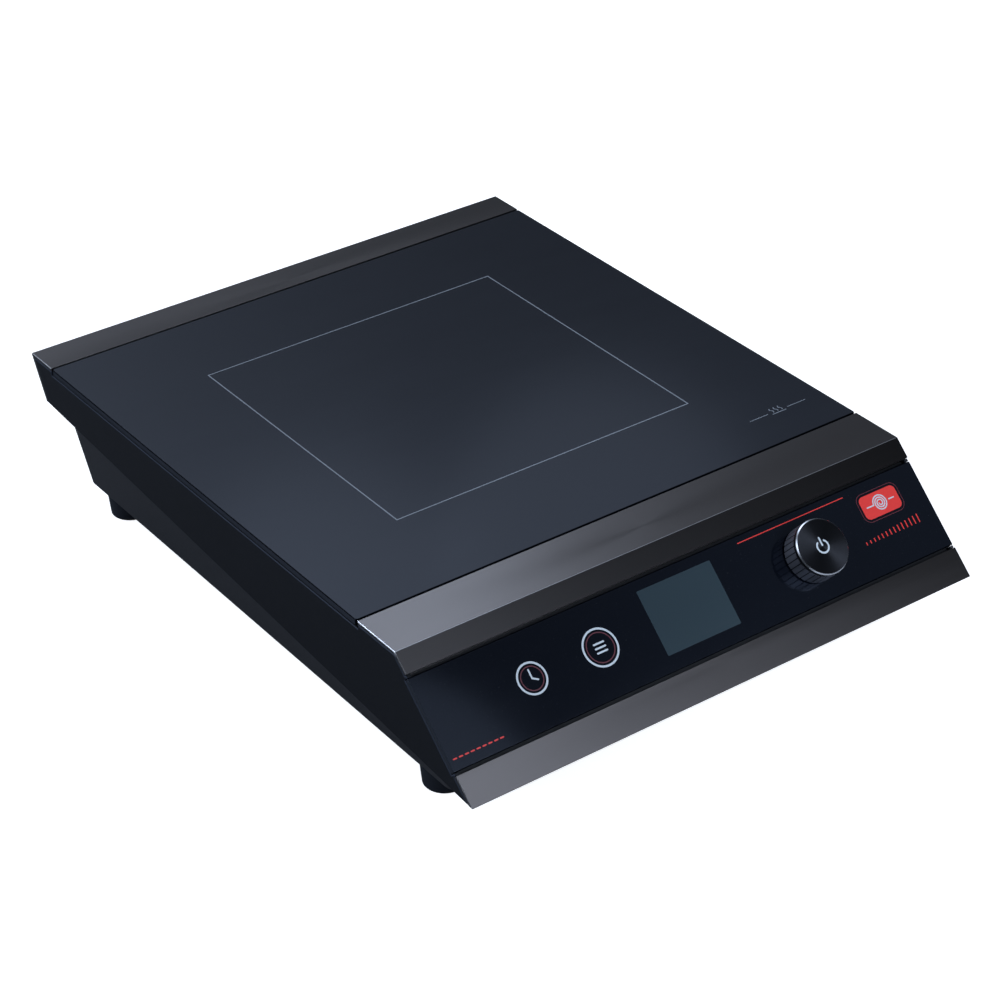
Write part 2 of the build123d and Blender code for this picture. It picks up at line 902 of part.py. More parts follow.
def make_rubber_feet():
    feet = []
    for x, y in foot_places():
        foot = Pos(0, 0, foot_height / 2) * Cone(foot_bottom_radius, foot_top_radius, foot_height)
        foot = fillet(edge_near(foot, (0, 0, 0)), foot_edge_radius)
        foot -= disc(foot_recess_radius, -margin, foot_recess_depth)
        foot -= disc(foot_screw[2] + loose, 0, foot_height + margin)
        feet.append(Pos(x, y, 0) * foot)
    return group(feet)


def make_foot_screws():
    turned = Rot(180, 0, 0) * screw(foot_screw, foot_screw_length)
    return group([Pos(x, y, foot_recess_depth) * turned for x, y in foot_places()])


def make_foot_nuts():
    bore = foot_screw[2] + snug
    top = floor_top + foot_nut_height
    return group([hexagon(foot_nut_flats, bore, floor_top, top, x, y) for x, y in foot_places()])


def make_floor_screws():
    """Screws from below into the coil pillars and the power board's standoffs."""
    pillar_screw = Rot(180, 0, 0) * screw(large_screw, pillar_screw_length)
    standoff_screw = Rot(180, 0, 0) * screw(small_screw, standoff_screw_length)
    screws = [Pos(x, y, foot_height) * pillar_screw for x, y in pillar_places()]
    screws += [Pos(x, y, foot_height) * standoff_screw for x, y in standoff_places()]
    return group(screws)


def make_case_screws():
    """Screws through the trims' returns into the tub's ledges, and through its rim into the side panels."""
    one = screw(case_screw, case_screw_length)
    turned = Rot(180, 0, 0) * one
    places = ledge_screw_places(front_screw_v) + ledge_screw_places(rear_screw_v)
    screws = [underside.location * Pos(x, v, 0) * turned for x, v in places]
    rim_x = tub_rim_half_width - tub_thickness
    for side in (-1, 1):
        for y, z in panel_screw_places():
            screws.append(Pos(side * rim_x, y, z) * Rot(0, -90 * side, 0) * one)
    return group(screws)


def make_corner_brackets():
    """Four angle brackets that join the side panels to the top flanges."""
    x = half_width - panel_thickness
    top = height - trim_thickness
    hole = small_screw[2] + loose
    brackets = []
    for side, y in bracket_screw_places():
        y0 = y - bracket_half_length
        y1 = y + bracket_half_length
        bracket = block(bracket_screw_x - bracket_top_leg, x, y0, y1, top - bracket_thickness, top)
        bracket += block(x - bracket_thickness, x, y0, y1, bracket_screw_z - bracket_side_leg, top)
        bracket -= disc(hole, top - bracket_thickness - margin, top + margin, bracket_screw_x, y)
        bracket -= cross_hole(hole, bracket_thickness + margin, x, y, bracket_screw_z)
        if side < 0:
            bracket = mirror(bracket, Plane.YZ)
        brackets.append(bracket)
    return group(brackets)


def make_small_screws():
    """Identical small screws of the corner brackets, the power board and the mains inlet."""
    one = screw(small_screw, small_screw_length)
    leg_top = height - trim_thickness - bracket_thickness
    leg_x = half_width - panel_thickness - bracket_thickness
    screws = [Pos(x, y, board_top) * one for x, y in standoff_places()]
    for side, y in bracket_screw_places():
        screws.append(Pos(side * bracket_screw_x, y, leg_top) * Rot(180, 0, 0) * one)
        screws.append(Pos(side * leg_x, y, bracket_screw_z) * Rot(0, -90 * side, 0) * one)
    for dx in inlet_screw_offsets:
        screws.append(Pos(inlet_x + dx, inlet_face_y, inlet_z) * Rot(-90, 0, 0) * one)
    return group(screws)


# Knob and encoder, built around the slope's normal


def make_knob_shell():
    """Machined aluminium knob: bevelled rim, smooth collar, grooved side, hollow below."""
    shell = disc(knob_radius, knob_bottom, knob_top)
    shell = chamfer(shell.faces().sort_by(Axis.Z)[-1].edges(), knob_bevel)
    groove_top = knob_top - knob_bevel - knob_collar_height
    shell -= disc(knob_radius - knob_wall, knob_bottom - margin, knob_top - knob_roof)
    groove_height = groove_top - knob_bottom + margin
    groove_z = groove_top - groove_height / 2
    for i in range(knob_groove_count):
        turn = Rot(0, 0, i * 360 / knob_groove_count)
        groove = Box(2 * knob_groove_depth, knob_groove_width, groove_height)
        shell -= turn * Pos(knob_radius, 0, groove_z) * groove
    line_top = groove_top + knob_line_width
    line = disc(knob_radius + margin, groove_top, line_top)
    line -= disc(knob_radius - knob_line_depth, groove_top - margin, line_top + margin)
    shell -= line
    return on_slope(shell, knob_x, knob_s)


def make_knob_hub():
    """Plastic hub pressed into the knob shell, with a D-shaped socket for the shaft."""
    outer = knob_radius - knob_wall
    hub = disc(outer, hub_bottom, knob_top - knob_roof)
    hub += tube(outer, outer - hub_skirt_wall, hub_skirt_bottom, hub_bottom)
    hub -= shaft_bar(socket_gap, hub_bottom - margin, shaft_top + 2 * running_clearance)
    return on_slope(hub, knob_x, knob_s)


def shaft_bar(gap, n0, n1):
    """The part of the shaft with a flat, with a gap all round it."""
    reach = shaft_radius + margin
    bar = disc(shaft_radius + gap, n0, n1)
    return bar - block(-reach, reach, shaft_flat + gap, reach, n0 - margin, n1 + margin)


def make_encoder_shaft():
    """Round shaft with a flat for the hub, a thin neck through the plunger and a collar below it."""
    flat_start = hub_bottom - weld
    shaft = disc(shaft_radius, shaft_shoulder, flat_start) + shaft_bar(0, flat_start, shaft_top)
    shaft += disc(neck_radius, neck_end, shaft_shoulder)
    shaft += disc(collar_radius, shaft_end, neck_end)
    return on_slope(shaft, knob_x, knob_s)


def make_encoder_plunger():
    """Disc that slides in the encoder body with the shaft turning in it."""
    bottom = neck_end + running_clearance
    top = shaft_shoulder - running_clearance
    plunger = tube(plunger_radius, neck_radius + running_clearance, bottom, top)
    return on_slope(plunger, knob_x, knob_s)


def make_encoder_body():
    """Square housing on the control board and the bushing that passes through the glass."""
    half = encoder_half_width
    body = block(-half, half, -half, half, control_board_top, encoder_body_top)
    body += disc(bushing_radius, encoder_body_top, bushing_top)
    cavity_radius = plunger_radius + running_clearance
    body -= disc(cavity_radius, control_board_top + encoder_floor, encoder_cavity_top)
    bore_radius = shaft_radius + running_clearance
    body -= disc(bore_radius, encoder_cavity_top - margin, bushing_top + margin)
    return on_slope(body, knob_x, knob_s)


def make_encoder_dome():
    """Snap dome under the shaft that gives the press its click; the full travel ends just above it."""
    bottom = control_board_top + encoder_floor
    rim_top = bottom + dome_rim_thickness
    crown_top = shaft_end - knob_travel - running_clearance
    dome = disc(dome_rim_radius, bottom, rim_top) + disc(dome_crown_radius, rim_top, crown_top)
    return on_slope(dome, knob_x, knob_s)


def make_encoder_nut():
    bore = bushing_radius + bushing_thread_gap
    nut = hexagon(encoder_nut_flats, bore, -control_glass_recess, encoder_nut_top)
    return on_slope(nut, knob_x, knob_s)


# Control electronics


def make_display_module():
    x0 = display_x - display_width / 2
    x1 = display_x + display_width / 2
    s0 = display_s - display_length / 2
    s1 = display_s + display_length / 2
    module = slope_block(x0, x1, s0, s1, display_bottom, display_top)
    leg = disc(display_leg_radius, control_board_top, display_bottom + weld)
    for x in (x0 + display_leg_inset, x1 - display_leg_inset):
        for s in (s0 + display_leg_inset, s1 - display_leg_inset):
            module += on_slope(leg, x, s)
    return module


def make_display_gasket():
    """Foam frame that keeps light inside the display window."""
    half_x = display_window_width / 2
    half_s = display_window_length / 2
    gasket = block(
        -display_width / 2,
        display_width / 2,
        -display_length / 2,
        display_length / 2,
        display_top,
        control_glass_bottom,
    )
    gasket -= block(-half_x, half_x, -half_s, half_s, display_top - margin, 0)
    return on_slope(gasket, display_x, display_s)


def make_touch_springs():
    """Springs that carry the two touch fields from the board to the glass."""
    one = spring(
        touch_spring_radius,
        touch_spring_wire,
        touch_spring_turns,
        control_board_top,
        control_glass_bottom,
    )
    return group([on_slope(one, x, touch_s) for x in (clock_x, menu_x)])


def make_buzzer():
    """Round sounder with a small port in its top."""
    top = control_board_top + buzzer_height
    case = disc(buzzer_radius, control_board_top, top)
    port = disc(buzzer_port_radius, top - buzzer_port_depth, top + margin)
    return on_slope(case - port, buzzer_x, buzzer_s)


def control_screw_places():
    x0 = control_board_left + control_screw_inset_x
    x1 = control_board_right - control_screw_inset_x
    s0 = control_board_start + control_screw_inset_s
    s1 = control_board_end - control_screw_inset_s
    return [(x, s) for x in (x0, x1) for s in (s0, s1)]


def make_control_board():
    board = slope_block(
        control_board_left,
        control_board_right,
        control_board_start,
        control_board_end,
        control_board_bottom,
        control_board_top,
    )
    hole = disc(board_screw[2] + loose, control_board_bottom - margin, control_board_top + margin)
    for x, s in control_screw_places():
        board -= on_slope(hole, x, s)
    return board


def make_control_carrier():
    """Plastic tray bonded behind the control glass; the control board is screwed to its bosses."""
    wall = carrier_wall
    x0 = control_board_left - carrier_gap - wall
    x1 = control_board_right + carrier_gap + wall
    s0 = control_board_start - carrier_gap - wall
    s1 = control_board_end + carrier_gap + wall
    floor = carrier_floor_top - carrier_floor_thickness
    tray = slope_block(x0, x1, s0, s1, floor, control_glass_bottom)
    tray -= slope_block(x0 + wall, x1 - wall, s0 + wall, s1 - wall, carrier_floor_top, 0)
    tray -= slope_block(
        cable_left - 2 * margin,
        cable_right + 2 * margin,
        cable_s - carrier_slot_half_length,
        cable_s + carrier_slot_half_length,
        floor - margin,
        carrier_floor_top + margin,
    )
    boss = disc(carrier_boss_radius, floor + weld, control_board_bottom)
    hole = disc(board_screw[2] + snug, floor + margin, control_board_bottom + margin)
    for x, s in control_screw_places():
        tray += on_slope(boss, x, s)
        tray -= on_slope(hole, x, s)
    return tray


def make_control_board_screws():
    lifted = Pos(0, 0, control_board_top) * screw(board_screw, board_screw_length)
    return group([on_slope(lifted, x, s) for x, s in control_screw_places()])


def make_control_cable():
    """Flat cable from the control board to the power board."""
    socket_end = control_board_bottom - control_socket_depth
    points = [
        slope_point(cable_s, socket_end - cable_end_gap),
        slope_point(cable_s, cable_drop),
        (cable_bend_y, cable_run_z),
        (cable_rise_y, cable_run_z),
        (cable_board_y, cable_board_z),
    ]
    return prism(bent_sheet(points, cable_thickness), cable_left, cable_right)


# Coil stack


def coil_place(shape):
    return Pos(0, zone_y, 0) * shape


def make_coil_winding():
    """Flat spiral of half circles; each half turn steps the radius out by half a pitch."""
    step = coil_pitch / 2
    radius = coil_first_radius
    edges = []
    for _ in range(coil_outer_turns):
        edges.append(ThreePointArc((radius, 0), (0, radius), (-radius, 0)))
        wide = radius + step
        edges.append(ThreePointArc((-radius, 0), (step, -wide), (wide + step, 0)))
        radius += coil_pitch
    path = Wire(edges)
    start = Plane(origin=path @ 0, z_dir=path % 0)
    winding = sweep(start * Circle(litz_radius), path=path)
    return coil_place(Pos(0, 0, coil_centre_z) * winding)


def spring_places():
    angles = [math.radians(angle) for angle in coil_spring_angles]
    return [(coil_spring_circle * math.cos(a), coil_spring_circle * math.sin(a)) for a in angles]


def make_coil_carrier():
    """Plastic disc under the winding, open in the middle around the temperature sensor."""
    carrier = tube(carrier_radius, carrier_bore, carrier_bottom, carrier_top)
    reach = carrier_bore + margin
    spoke = sensor_hole_radius
    carrier += block(-spoke, spoke, -reach, reach, carrier_bottom, carrier_top)
    carrier += disc(carrier_eye_radius, carrier_bottom, carrier_top)
    carrier -= disc(sensor_hole_radius, carrier_bottom - margin, carrier_top + margin)
    for x, y in spring_places():
        carrier += disc(spring_pin_radius, carrier_bottom - spring_pin_length, carrier_bottom, x, y)
    return coil_place(carrier)


def make_ferrite_bars():
    bars = []
    top = carrier_bottom
    bar = block(
        ferrite_inner_radius,
        ferrite_inner_radius + ferrite_length,
        -ferrite_width / 2,
        ferrite_width / 2,
        top - ferrite_thickness,
        top,
    )
    for i in range(ferrite_count):
        turn = Rot(0, 0, 360 / ferrite_count * (i + 0.5))
        bars.append(coil_place(turn * bar))
    return group(bars)


def make_mica_sheet():
    top = glass_bottom - coil_side_gap
    sheet = tube(carrier_radius, mica_bore, top - mica_thickness, top)
    return coil_place(sheet)


def make_coil_springs():
    one = spring(coil_spring_radius, coil_spring_wire, coil_spring_turns, tray_top, carrier_bottom)
    return group([coil_place(Pos(x, y, 0) * one) for x, y in spring_places()])


def make_coil_tray():
    """Aluminium plate with turned-down edges; it carries the coil and screens the boards below."""
    bottom = tray_top - tray_thickness
    x = tray_half_width
    tray = block(-x, x, tray_front, tray_rear, bottom, tray_top)
    for side in (-1, 1):
        low, high = sorted((side * x, side * (x - tray_thickness)))
        tray += block(low, high, tray_front, tray_rear, bottom - tray_flange, tray_top)
    low = bottom - margin
    high = tray_top + margin
    for hole_x, y in pillar_places():
        tray -= disc(large_screw[2] + loose, low, high, hole_x, y)
    tray -= disc(tray_sensor_hole, low, high, 0, zone_y)
    for _, y in coil_terminal_places():
        tray -= disc(tray_lead_hole, low, high, tray_hole_x, y)
    return tray


def make_coil_pillars():
    top = tray_top - tray_thickness
    bore = large_screw[2] + snug
    return group([hexagon(pillar_flats, bore, floor_top, top, x, y) for x, y in pillar_places()])


def make_coil_tray_screws():
    one = screw(large_screw, pillar_screw_length)
    return group([Pos(x, y, tray_top) * one for x, y in pillar_places()])


def coil_terminal_places():
    """(x, y) of the outer and inner lead's posts on the power board."""
    return [(terminal_x, zone_y), (terminal_x, zone_y - terminal_pitch)]


def make_coil_leads():
    """Two litz leads from the winding, through the tray, to the posts on the power board."""
    outer_end = coil_first_radius + coil_outer_turns * coil_pitch
    post_top = board_top + terminal_height
    low = post_top + lead_drop
    (post_x, outer_y), (_, inner_y) = coil_terminal_places()
    side_y = zone_y + lead_side_step
    outer_points = [
        (outer_end, zone_y + coil_side_gap, coil_centre_z),
        (outer_end, side_y, coil_centre_z),
        (tray_hole_x, side_y, coil_centre_z),
        (tray_hole_x, outer_y, low),
        (post_x, outer_y, low),
        (post_x, outer_y, post_top),
    ]
    under = tray_top + lead_radius + weld
    step_y = zone_y - inner_lead_step
    inner_points = [
        (coil_first_radius, zone_y - coil_side_gap, coil_centre_z),
        (coil_first_radius, step_y, coil_centre_z),
        (inner_lead_x, step_y, coil_centre_z),
        (inner_lead_x, step_y, under),
        (tray_hole_x, inner_y, under),
        (tray_hole_x, inner_y, low),
        (post_x, inner_y, low),
        (post_x, inner_y, post_top),
    ]
    return group([wire(points, lead_radius, lead_bend) for points in (outer_points, inner_points)])


def make_thermistor_holder():
    """Silicone cup that presses the temperature sensor against the glass."""
    top = glass_bottom - coil_side_gap - sensor_thickness
    return coil_place(tube(holder_outer, holder_inner, carrier_top, top))


def make_thermistor():
    """Sensor disc under the glass, its stem, and its lead down to the power board."""
    top = glass_bottom - coil_side_gap
    bottom = top - sensor_thickness
    stem_bottom = bottom - sensor_stem_length
    sensor = disc(sensor_radius, bottom, top, 0, zone_y)
    sensor += disc(sensor_stem_radius, stem_bottom, bottom, 0, zone_y)
    points = [
        (0, zone_y, stem_bottom + weld),
        (0, zone_y, sensor_lead_z),
        (0, sensor_socket_y, sensor_lead_z),
        (0, sensor_socket_y, board_top + socket_height),
    ]
    return sensor + wire(points, sensor_lead_radius, sensor_lead_bend)


# Power electronics


def make_power_board():
    bottom = board_top - board_thickness
    x = board_half_width
    board = block(-x, x, board_front, board_rear, bottom, board_top)
    for hole_x, y in standoff_places():
        board -= disc(small_screw[2] + loose, bottom - margin, board_top + margin, hole_x, y)
    return board


def make_board_standoffs():
    top = board_top - board_thickness
    bore = small_screw[2] + snug
    places = standoff_places()
    return group([hexagon(standoff_flats, bore, floor_top, top, x, y) for x, y in places])


def make_heat_sink():
    """Extruded sink: two legs, a base plate and upright fins along the air flow."""
    base_top = sink_base_bottom + sink_base_thickness
    sink = block(sink_left, sink_right, sink_front, sink_rear, sink_base_bottom, base_top)
    for left in (sink_left, sink_right - sink_leg_thickness):
        right = left + sink_leg_thickness
        sink += block(left, right, sink_front, sink_rear, board_top, sink_base_bottom)
    count = int((sink_right - sink_left - fin_thickness) / fin_pitch) + 1
    for i in range(count):
        left = sink_left + i * fin_pitch
        sink += block(left, left + fin_thickness, sink_front, sink_rear, base_top, sink_top)
    return sink


def power_device(x, y, size):
    """A flat power package pressed up against the sink's base plate, with pins down to the board."""
    width_x, length_y, thickness, pin_count = size
    bottom = sink_base_bottom - thickness
    x1 = x + width_x
    y1 = y + length_y
    body = block(x, x1, y, y1, bottom, sink_base_bottom)
    for i in range(pin_count):
        pin_x = x + width_x * (i + 0.5) / pin_count
        x0 = pin_x - pin_half_width
        x1 = pin_x + pin_half_width
        body += block(x0, x1, y + pin_start, y + pin_end, board_top, bottom + weld)
    return body


def make_power_transistors():
    return group([power_device(transistor_x, y, transistor_size) for y in transistor_ys])


def make_bridge_rectifier():
    return power_device(*rectifier_corner, rectifier_size)


def box_part(x, y, width_x, length_y, tall):
    """A moulded box component on the power board, with softened top edges."""
    body = block(x, x + width_x, y, y + length_y, board_top, board_top + tall)
    return chamfer(body.faces().sort_by(Axis.Z)[-1].edges(), component_edge_break)


def make_film_capacitors():
    return group([box_part(*capacitor) for capacitor in capacitors])


def make_filter_choke():
    ring = Torus(choke_ring_radius, choke_tube_radius)
    return Pos(choke_x, choke_y, board_top + choke_tube_radius) * ring


def make_standby_transformer():
    return box_part(*standby_transformer)


def make_terminal_block():
    """Block with one hole in its top for each of the three mains leads."""
    block_part = box_part(*terminal_block_corner, *terminal_block_size)
    top = board_top + terminal_block_size[2]
    for x, y in mains_entries:
        block_part -= disc(terminal_hole_radius, top - terminal_hole_depth, top + margin, x, y)
    return block_part


def make_board_connectors():
    """Terminal block, coil posts, sensor socket and the two sockets of the flat cable."""
    post_top = board_top + terminal_height
    socket_top = board_top + socket_height
    half = socket_half_depth
    x0 = cable_left - margin
    x1 = cable_right + margin
    socket_front = cable_board_y + cable_socket_gap
    control_socket_bottom = control_board_bottom - control_socket_depth
    parts = [make_terminal_block()]
    parts += [disc(terminal_radius, board_top, post_top, x, y) for x, y in coil_terminal_places()]
    sensor_socket = block(-half, half, sensor_socket_y - half, sensor_socket_y + half, board_top, socket_top)
    control_socket = slope_block(
        x0, x1, cable_s - half, cable_s + half, control_socket_bottom, control_board_bottom
    )
    power_socket = block(x0, x1, socket_front, socket_front + 2 * half, board_top, socket_top)
    return group(parts + [sensor_socket, control_socket, power_socket])


def make_mains_inlet():
    """Appliance inlet in the rear wall; its flange is wedged to sit flat on the leaning wall."""
    back = tub_floor_rear
    cavity_front = inlet_body_front + inlet_floor
    half_x = inlet_body_half_width
    half_z = inlet_body_half_height
    flange = inlet_block(inlet_flange_half_width, inlet_flange_half_height, back, inlet_face_y)
    flange = chamfer(flange.edges().filter_by(Axis.Y), inlet_flange_bevel)
    flange -= tub_form(0, foot_height, tub_rim_rise)
    body = inlet_block(half_x, half_z, inlet_body_front, inlet_face_y)
    cavity = inlet_block(half_x - inlet_wall, half_z - inlet_wall, cavity_front, inlet_face_y + margin)
    inlet = flange + body - cavity
    slot_x = blade_half_width + blade_gap
    slot_z = blade_half_thickness + blade_gap
    for x, z in blade_places():
        y0 = inlet_body_front - margin
        y1 = cavity_front + margin
        inlet -= block(x - slot_x, x + slot_x, y0, y1, z - slot_z, z + slot_z)
    hole = Rot(90, 0, 0) * Cylinder(small_screw[2] + loose, overshoot)
    for dx in inlet_screw_offsets:
        inlet -= Pos(inlet_x + dx, inlet_face_y, inlet_z) * hole
    return inlet


def inlet_block(half_x, half_z, y0, y1):
    """A block around the mains inlet's axis."""
    return block(inlet_x - half_x, inlet_x + half_x, y0, y1, inlet_z - half_z, inlet_z + half_z)


def blade_places():
    """(x, z) of the inlet's three contact blades; the middle one stands higher."""
    side_z = inlet_z - blade_drop
    middle_z = inlet_z + blade_rise
    return [(inlet_x - blade_pitch, side_z), (inlet_x, middle_z), (inlet_x + blade_pitch, side_z)]


def make_inlet_blades():
    blades = []
    for x, z in blade_places():
        x0 = x - blade_half_width
        x1 = x + blade_half_width
        blades.append(
            block(x0, x1, blade_front, blade_rear, z - blade_half_thickness, z + blade_half_thickness)
        )
    return group(blades)


def make_mains_leads():
    """Three insulated leads from the inlet's blades to the terminal block."""
    over = mains_lead_z
    entry = board_top + terminal_block_size[2] - terminal_hole_depth + weld
    leads = []
    for (x, z), (target_x, y) in zip(blade_places(), mains_entries):
        start = (x, blade_front - blade_gap, z)
        points = [start, (x, y, z), (x, y, over), (target_x, y, over), (target_x, y, entry)]
        leads.append(wire(points, mains_lead_radius, mains_lead_bend))
    return group(leads)


# Fan and air duct


def fan_place(shape):
    return Pos(fan_x, fan_y, floor_top + fan_gap_above_floor) * shape


def make_fan_frame():
    half = fan_size / 2
    frame = block(-half, half, -half, half, 0, fan_thickness)
    frame = fillet(frame.edges().filter_by(Axis.Z), fan_corner_radius)
    frame -= disc(fan_bore_radius, -margin, fan_thickness + margin)
    reach = fan_bore_radius + margin
    strut = block(-reach, reach, -fan_strut_half_width, fan_strut_half_width, 0, fan_strut_height)
    for angle in (45, 135):
        frame += Rot(0, 0, angle) * strut
    frame += disc(fan_disc_radius, 0, fan_strut_height)
    frame += disc(fan_boss_radius, fan_strut_height, fan_boss_top)
    frame -= disc(fan_shaft_radius + running_clearance, margin, fan_boss_top + margin)
    offsets = (-fan_hole_offset, fan_hole_offset)
    for x in offsets:
        for y in offsets:
            frame -= disc(fan_screw[2] + snug, -margin, fan_thickness + margin, x, y)
    return fan_place(frame)


def make_fan_stator():
    """Wound stator pressed on the frame's bearing boss."""
    slot_length = 8.0
    slot_width = 2.5
    slot_height = fan_stator_top - fan_stator_bottom + margin
    slot_x = fan_stator_radius + margin - slot_length / 2
    slot_z = (fan_stator_bottom + fan_stator_top) / 2
    slot = Pos(slot_x, 0, slot_z) * Box(slot_length, slot_width, slot_height)
    stator = tube(fan_stator_radius, fan_boss_radius, fan_stator_bottom, fan_stator_top)
    turn = 360 / fan_stator_slots
    for i in range(fan_stator_slots):
        stator -= Rot(0, 0, (i + 0.5) * turn) * slot
    return fan_place(stator)


def make_fan_rotor():
    """Cup-shaped hub on its shaft, with pitched blades."""
    roof = fan_hub_top - fan_hub_roof
    hub = disc(fan_hub_radius, fan_hub_bottom, fan_hub_top)
    hub = chamfer(hub.faces().sort_by(Axis.Z)[-1].edges(), fan_hub_bevel)
    hub -= disc(fan_hub_radius - fan_hub_wall, fan_hub_bottom - margin, roof)
    rotor = hub + disc(fan_shaft_radius, fan_shaft_end, roof + weld)
    root_radius = fan_hub_radius - weld
    sweep_zone = tube(fan_blade_radius, root_radius, fan_blade_bottom, fan_blade_top)
    blade_x = (fan_blade_radius + root_radius) / 2
    blade_z = (fan_blade_bottom + fan_blade_top) / 2
    span = fan_blade_radius - root_radius + 2 * margin
    plate = Box(span, fan_blade_thickness, 2 * (fan_blade_top - fan_blade_bottom))
    blade = Pos(blade_x, 0, blade_z) * Rot(fan_blade_pitch, 0, 0) * plate
    for i in range(fan_blade_count):
        rotor += Rot(0, 0, 360 / fan_blade_count * i) * (blade & sweep_zone)
    return fan_place(rotor)


def make_fan_screws():
    one = Rot(180, 0, 0) * screw(fan_screw, fan_screw_length)
    return group([Pos(x, y, foot_height) * one for x, y in fan_hole_places()])


def make_air_duct():
    """Thin hood that turns the fan's air and leads it back through the heat sink's fins."""
    wall = duct_wall
    roof = sink_top + duct_roof_gap
    top = roof - wall
    half = fan_size / 2
    left = min(fan_x - half, sink_left) - duct_gap
    right = max(fan_x + half, sink_right) + duct_gap
    front = fan_y - half - duct_gap
    middle = fan_y + half + margin
    rear = sink_rear + duct_tail
    fan_bottom = floor_top + duct_skirt
    sink_bottom = board_top + duct_rise_over_board
    duct = block(left - wall, right + wall, front - wall, middle, fan_bottom, roof)
    duct += block(left - wall, right + wall, middle, rear, sink_bottom, roof)
    duct -= block(left, right, front, middle + margin, fan_bottom - margin, top)
    duct -= block(left, right, middle, rear + margin, sink_bottom - margin, top)
    return duct


NODES = {
    "base_tub": make_base_tub,
    "rubber_feet": make_rubber_feet,
    "foot_screws": make_foot_screws,
    "foot_nuts": make_foot_nuts,
    "floor_screws": make_floor_screws,
    "case_screws": make_case_screws,
    "left_side_panel": lambda: make_side_panel(-1),
    "right_side_panel": lambda: make_side_panel(1),
    "corner_brackets": make_corner_brackets,
    "small_screws": make_small_screws,
    "rear_trim": make_rear_trim,
    "front_upper_trim": make_front_upper_trim,
    "front_lower_trim": make_front_lower_trim,
    "top_glass": make_top_glass,
    "top_glass_seal": make_top_glass_seal,
    "control_glass": make_control_glass,
    "control_glass_seal": make_control_glass_seal,
    "knob_shell": make_knob_shell,
    "knob_hub": make_knob_hub,
    "encoder_shaft": make_encoder_shaft,
    "encoder_plunger": make_encoder_plunger,
    "encoder_body": make_encoder_body,
    "encoder_dome": make_encoder_dome,
    "encoder_nut": make_encoder_nut,
    "display_module": make_display_module,
    "display_gasket": make_display_gasket,
    "touch_springs": make_touch_springs,
    "buzzer": make_buzzer,
    "control_board": make_control_board,
    "control_carrier": make_control_carrier,
    "control_board_screws": make_control_board_screws,
    "control_cable": make_control_cable,
    "board_connectors": make_board_connectors,
    "coil_winding": make_coil_winding,
    "coil_carrier": make_coil_carrier,
    "ferrite_bars": make_ferrite_bars,
    "mica_sheet": make_mica_sheet,
    "coil_springs": make_coil_springs,
    "coil_tray": make_coil_tray,
    "coil_pillars": make_coil_pillars,
    "coil_tray_screws": make_coil_tray_screws,
    "coil_leads": make_coil_leads,
    "thermistor_holder": make_thermistor_holder,
    "thermistor": make_thermistor,
    "power_board": make_power_board,
    "board_standoffs": make_board_standoffs,
    "heat_sink": make_heat_sink,
    "power_transistors": make_power_transistors,
    "bridge_rectifier": make_bridge_rectifier,
    "film_capacitors": make_film_capacitors,
    "filter_choke": make_filter_choke,
    "standby_transformer": make_standby_transformer,
    "mains_inlet": make_mains_inlet,
    "inlet_blades": make_inlet_blades,
    "mains_leads": make_mains_leads,
    "fan_frame": make_fan_frame,
    "fan_stator": make_fan_stator,
    "fan_rotor": make_fan_rotor,
    "fan_screws": make_fan_screws,
    "air_duct": make_air_duct,
}


def main():
    os.makedirs("parts", exist_ok=True)
    for name, make in NODES.items():
        export_step(make(), os.path.join("parts", name + ".step"))


main()
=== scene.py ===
import json
import math

import bmesh
import bpy
from mathutils import Matrix, Vector


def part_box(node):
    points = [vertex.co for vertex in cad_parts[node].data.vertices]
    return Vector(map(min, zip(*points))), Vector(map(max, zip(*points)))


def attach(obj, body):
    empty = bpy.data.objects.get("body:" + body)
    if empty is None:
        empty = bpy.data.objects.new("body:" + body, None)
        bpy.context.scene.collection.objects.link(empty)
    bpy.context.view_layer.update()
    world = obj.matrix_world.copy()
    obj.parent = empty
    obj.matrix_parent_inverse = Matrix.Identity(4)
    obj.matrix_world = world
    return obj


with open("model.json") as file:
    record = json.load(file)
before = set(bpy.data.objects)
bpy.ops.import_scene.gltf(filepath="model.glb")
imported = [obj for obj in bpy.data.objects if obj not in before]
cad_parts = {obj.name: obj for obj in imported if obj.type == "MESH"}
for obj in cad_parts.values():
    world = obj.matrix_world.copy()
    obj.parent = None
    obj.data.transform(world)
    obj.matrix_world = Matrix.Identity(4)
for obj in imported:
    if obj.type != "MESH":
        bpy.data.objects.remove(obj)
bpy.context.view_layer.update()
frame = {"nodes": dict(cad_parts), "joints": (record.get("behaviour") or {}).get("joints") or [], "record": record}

# Looks of the countertop induction hob. Lengths below are in millimetres, and MM turns them into metres.
# Places on the control panel are (x, s): x from the middle of the hob, s down the slope from its fold.
# Places inside a printed mark are (u, v): u to the right, v up, from the middle of the mark.

MM = 0.001
ACROSS = Vector((1.0, 0.0, 0.0))
BACK = Vector((0.0, 1.0, 0.0))
UP = Vector((0.0, 0.0, 1.0))

joint = next(j for j in frame["joints"] if j["name"] == "knob_spin")
KNOB_CENTRE = Vector(joint["pos_m"])
SLOPE_OUT = Vector(joint["axis"]).normalized()
SLOPE_DOWN = ACROSS.cross(SLOPE_OUT)
TOP_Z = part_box("top_glass")[1].z
KNOB_S = (TOP_Z - KNOB_CENTRE.z) / -SLOPE_DOWN.z
FOLD = KNOB_CENTRE - SLOPE_DOWN * KNOB_S - ACROSS * KNOB_CENTRE.x


def furthest(node, direction, origin):
    """How far a node reaches along a direction from an origin, in metres."""
    return max((v.co - origin).dot(direction) for v in frame["nodes"][node].data.vertices)


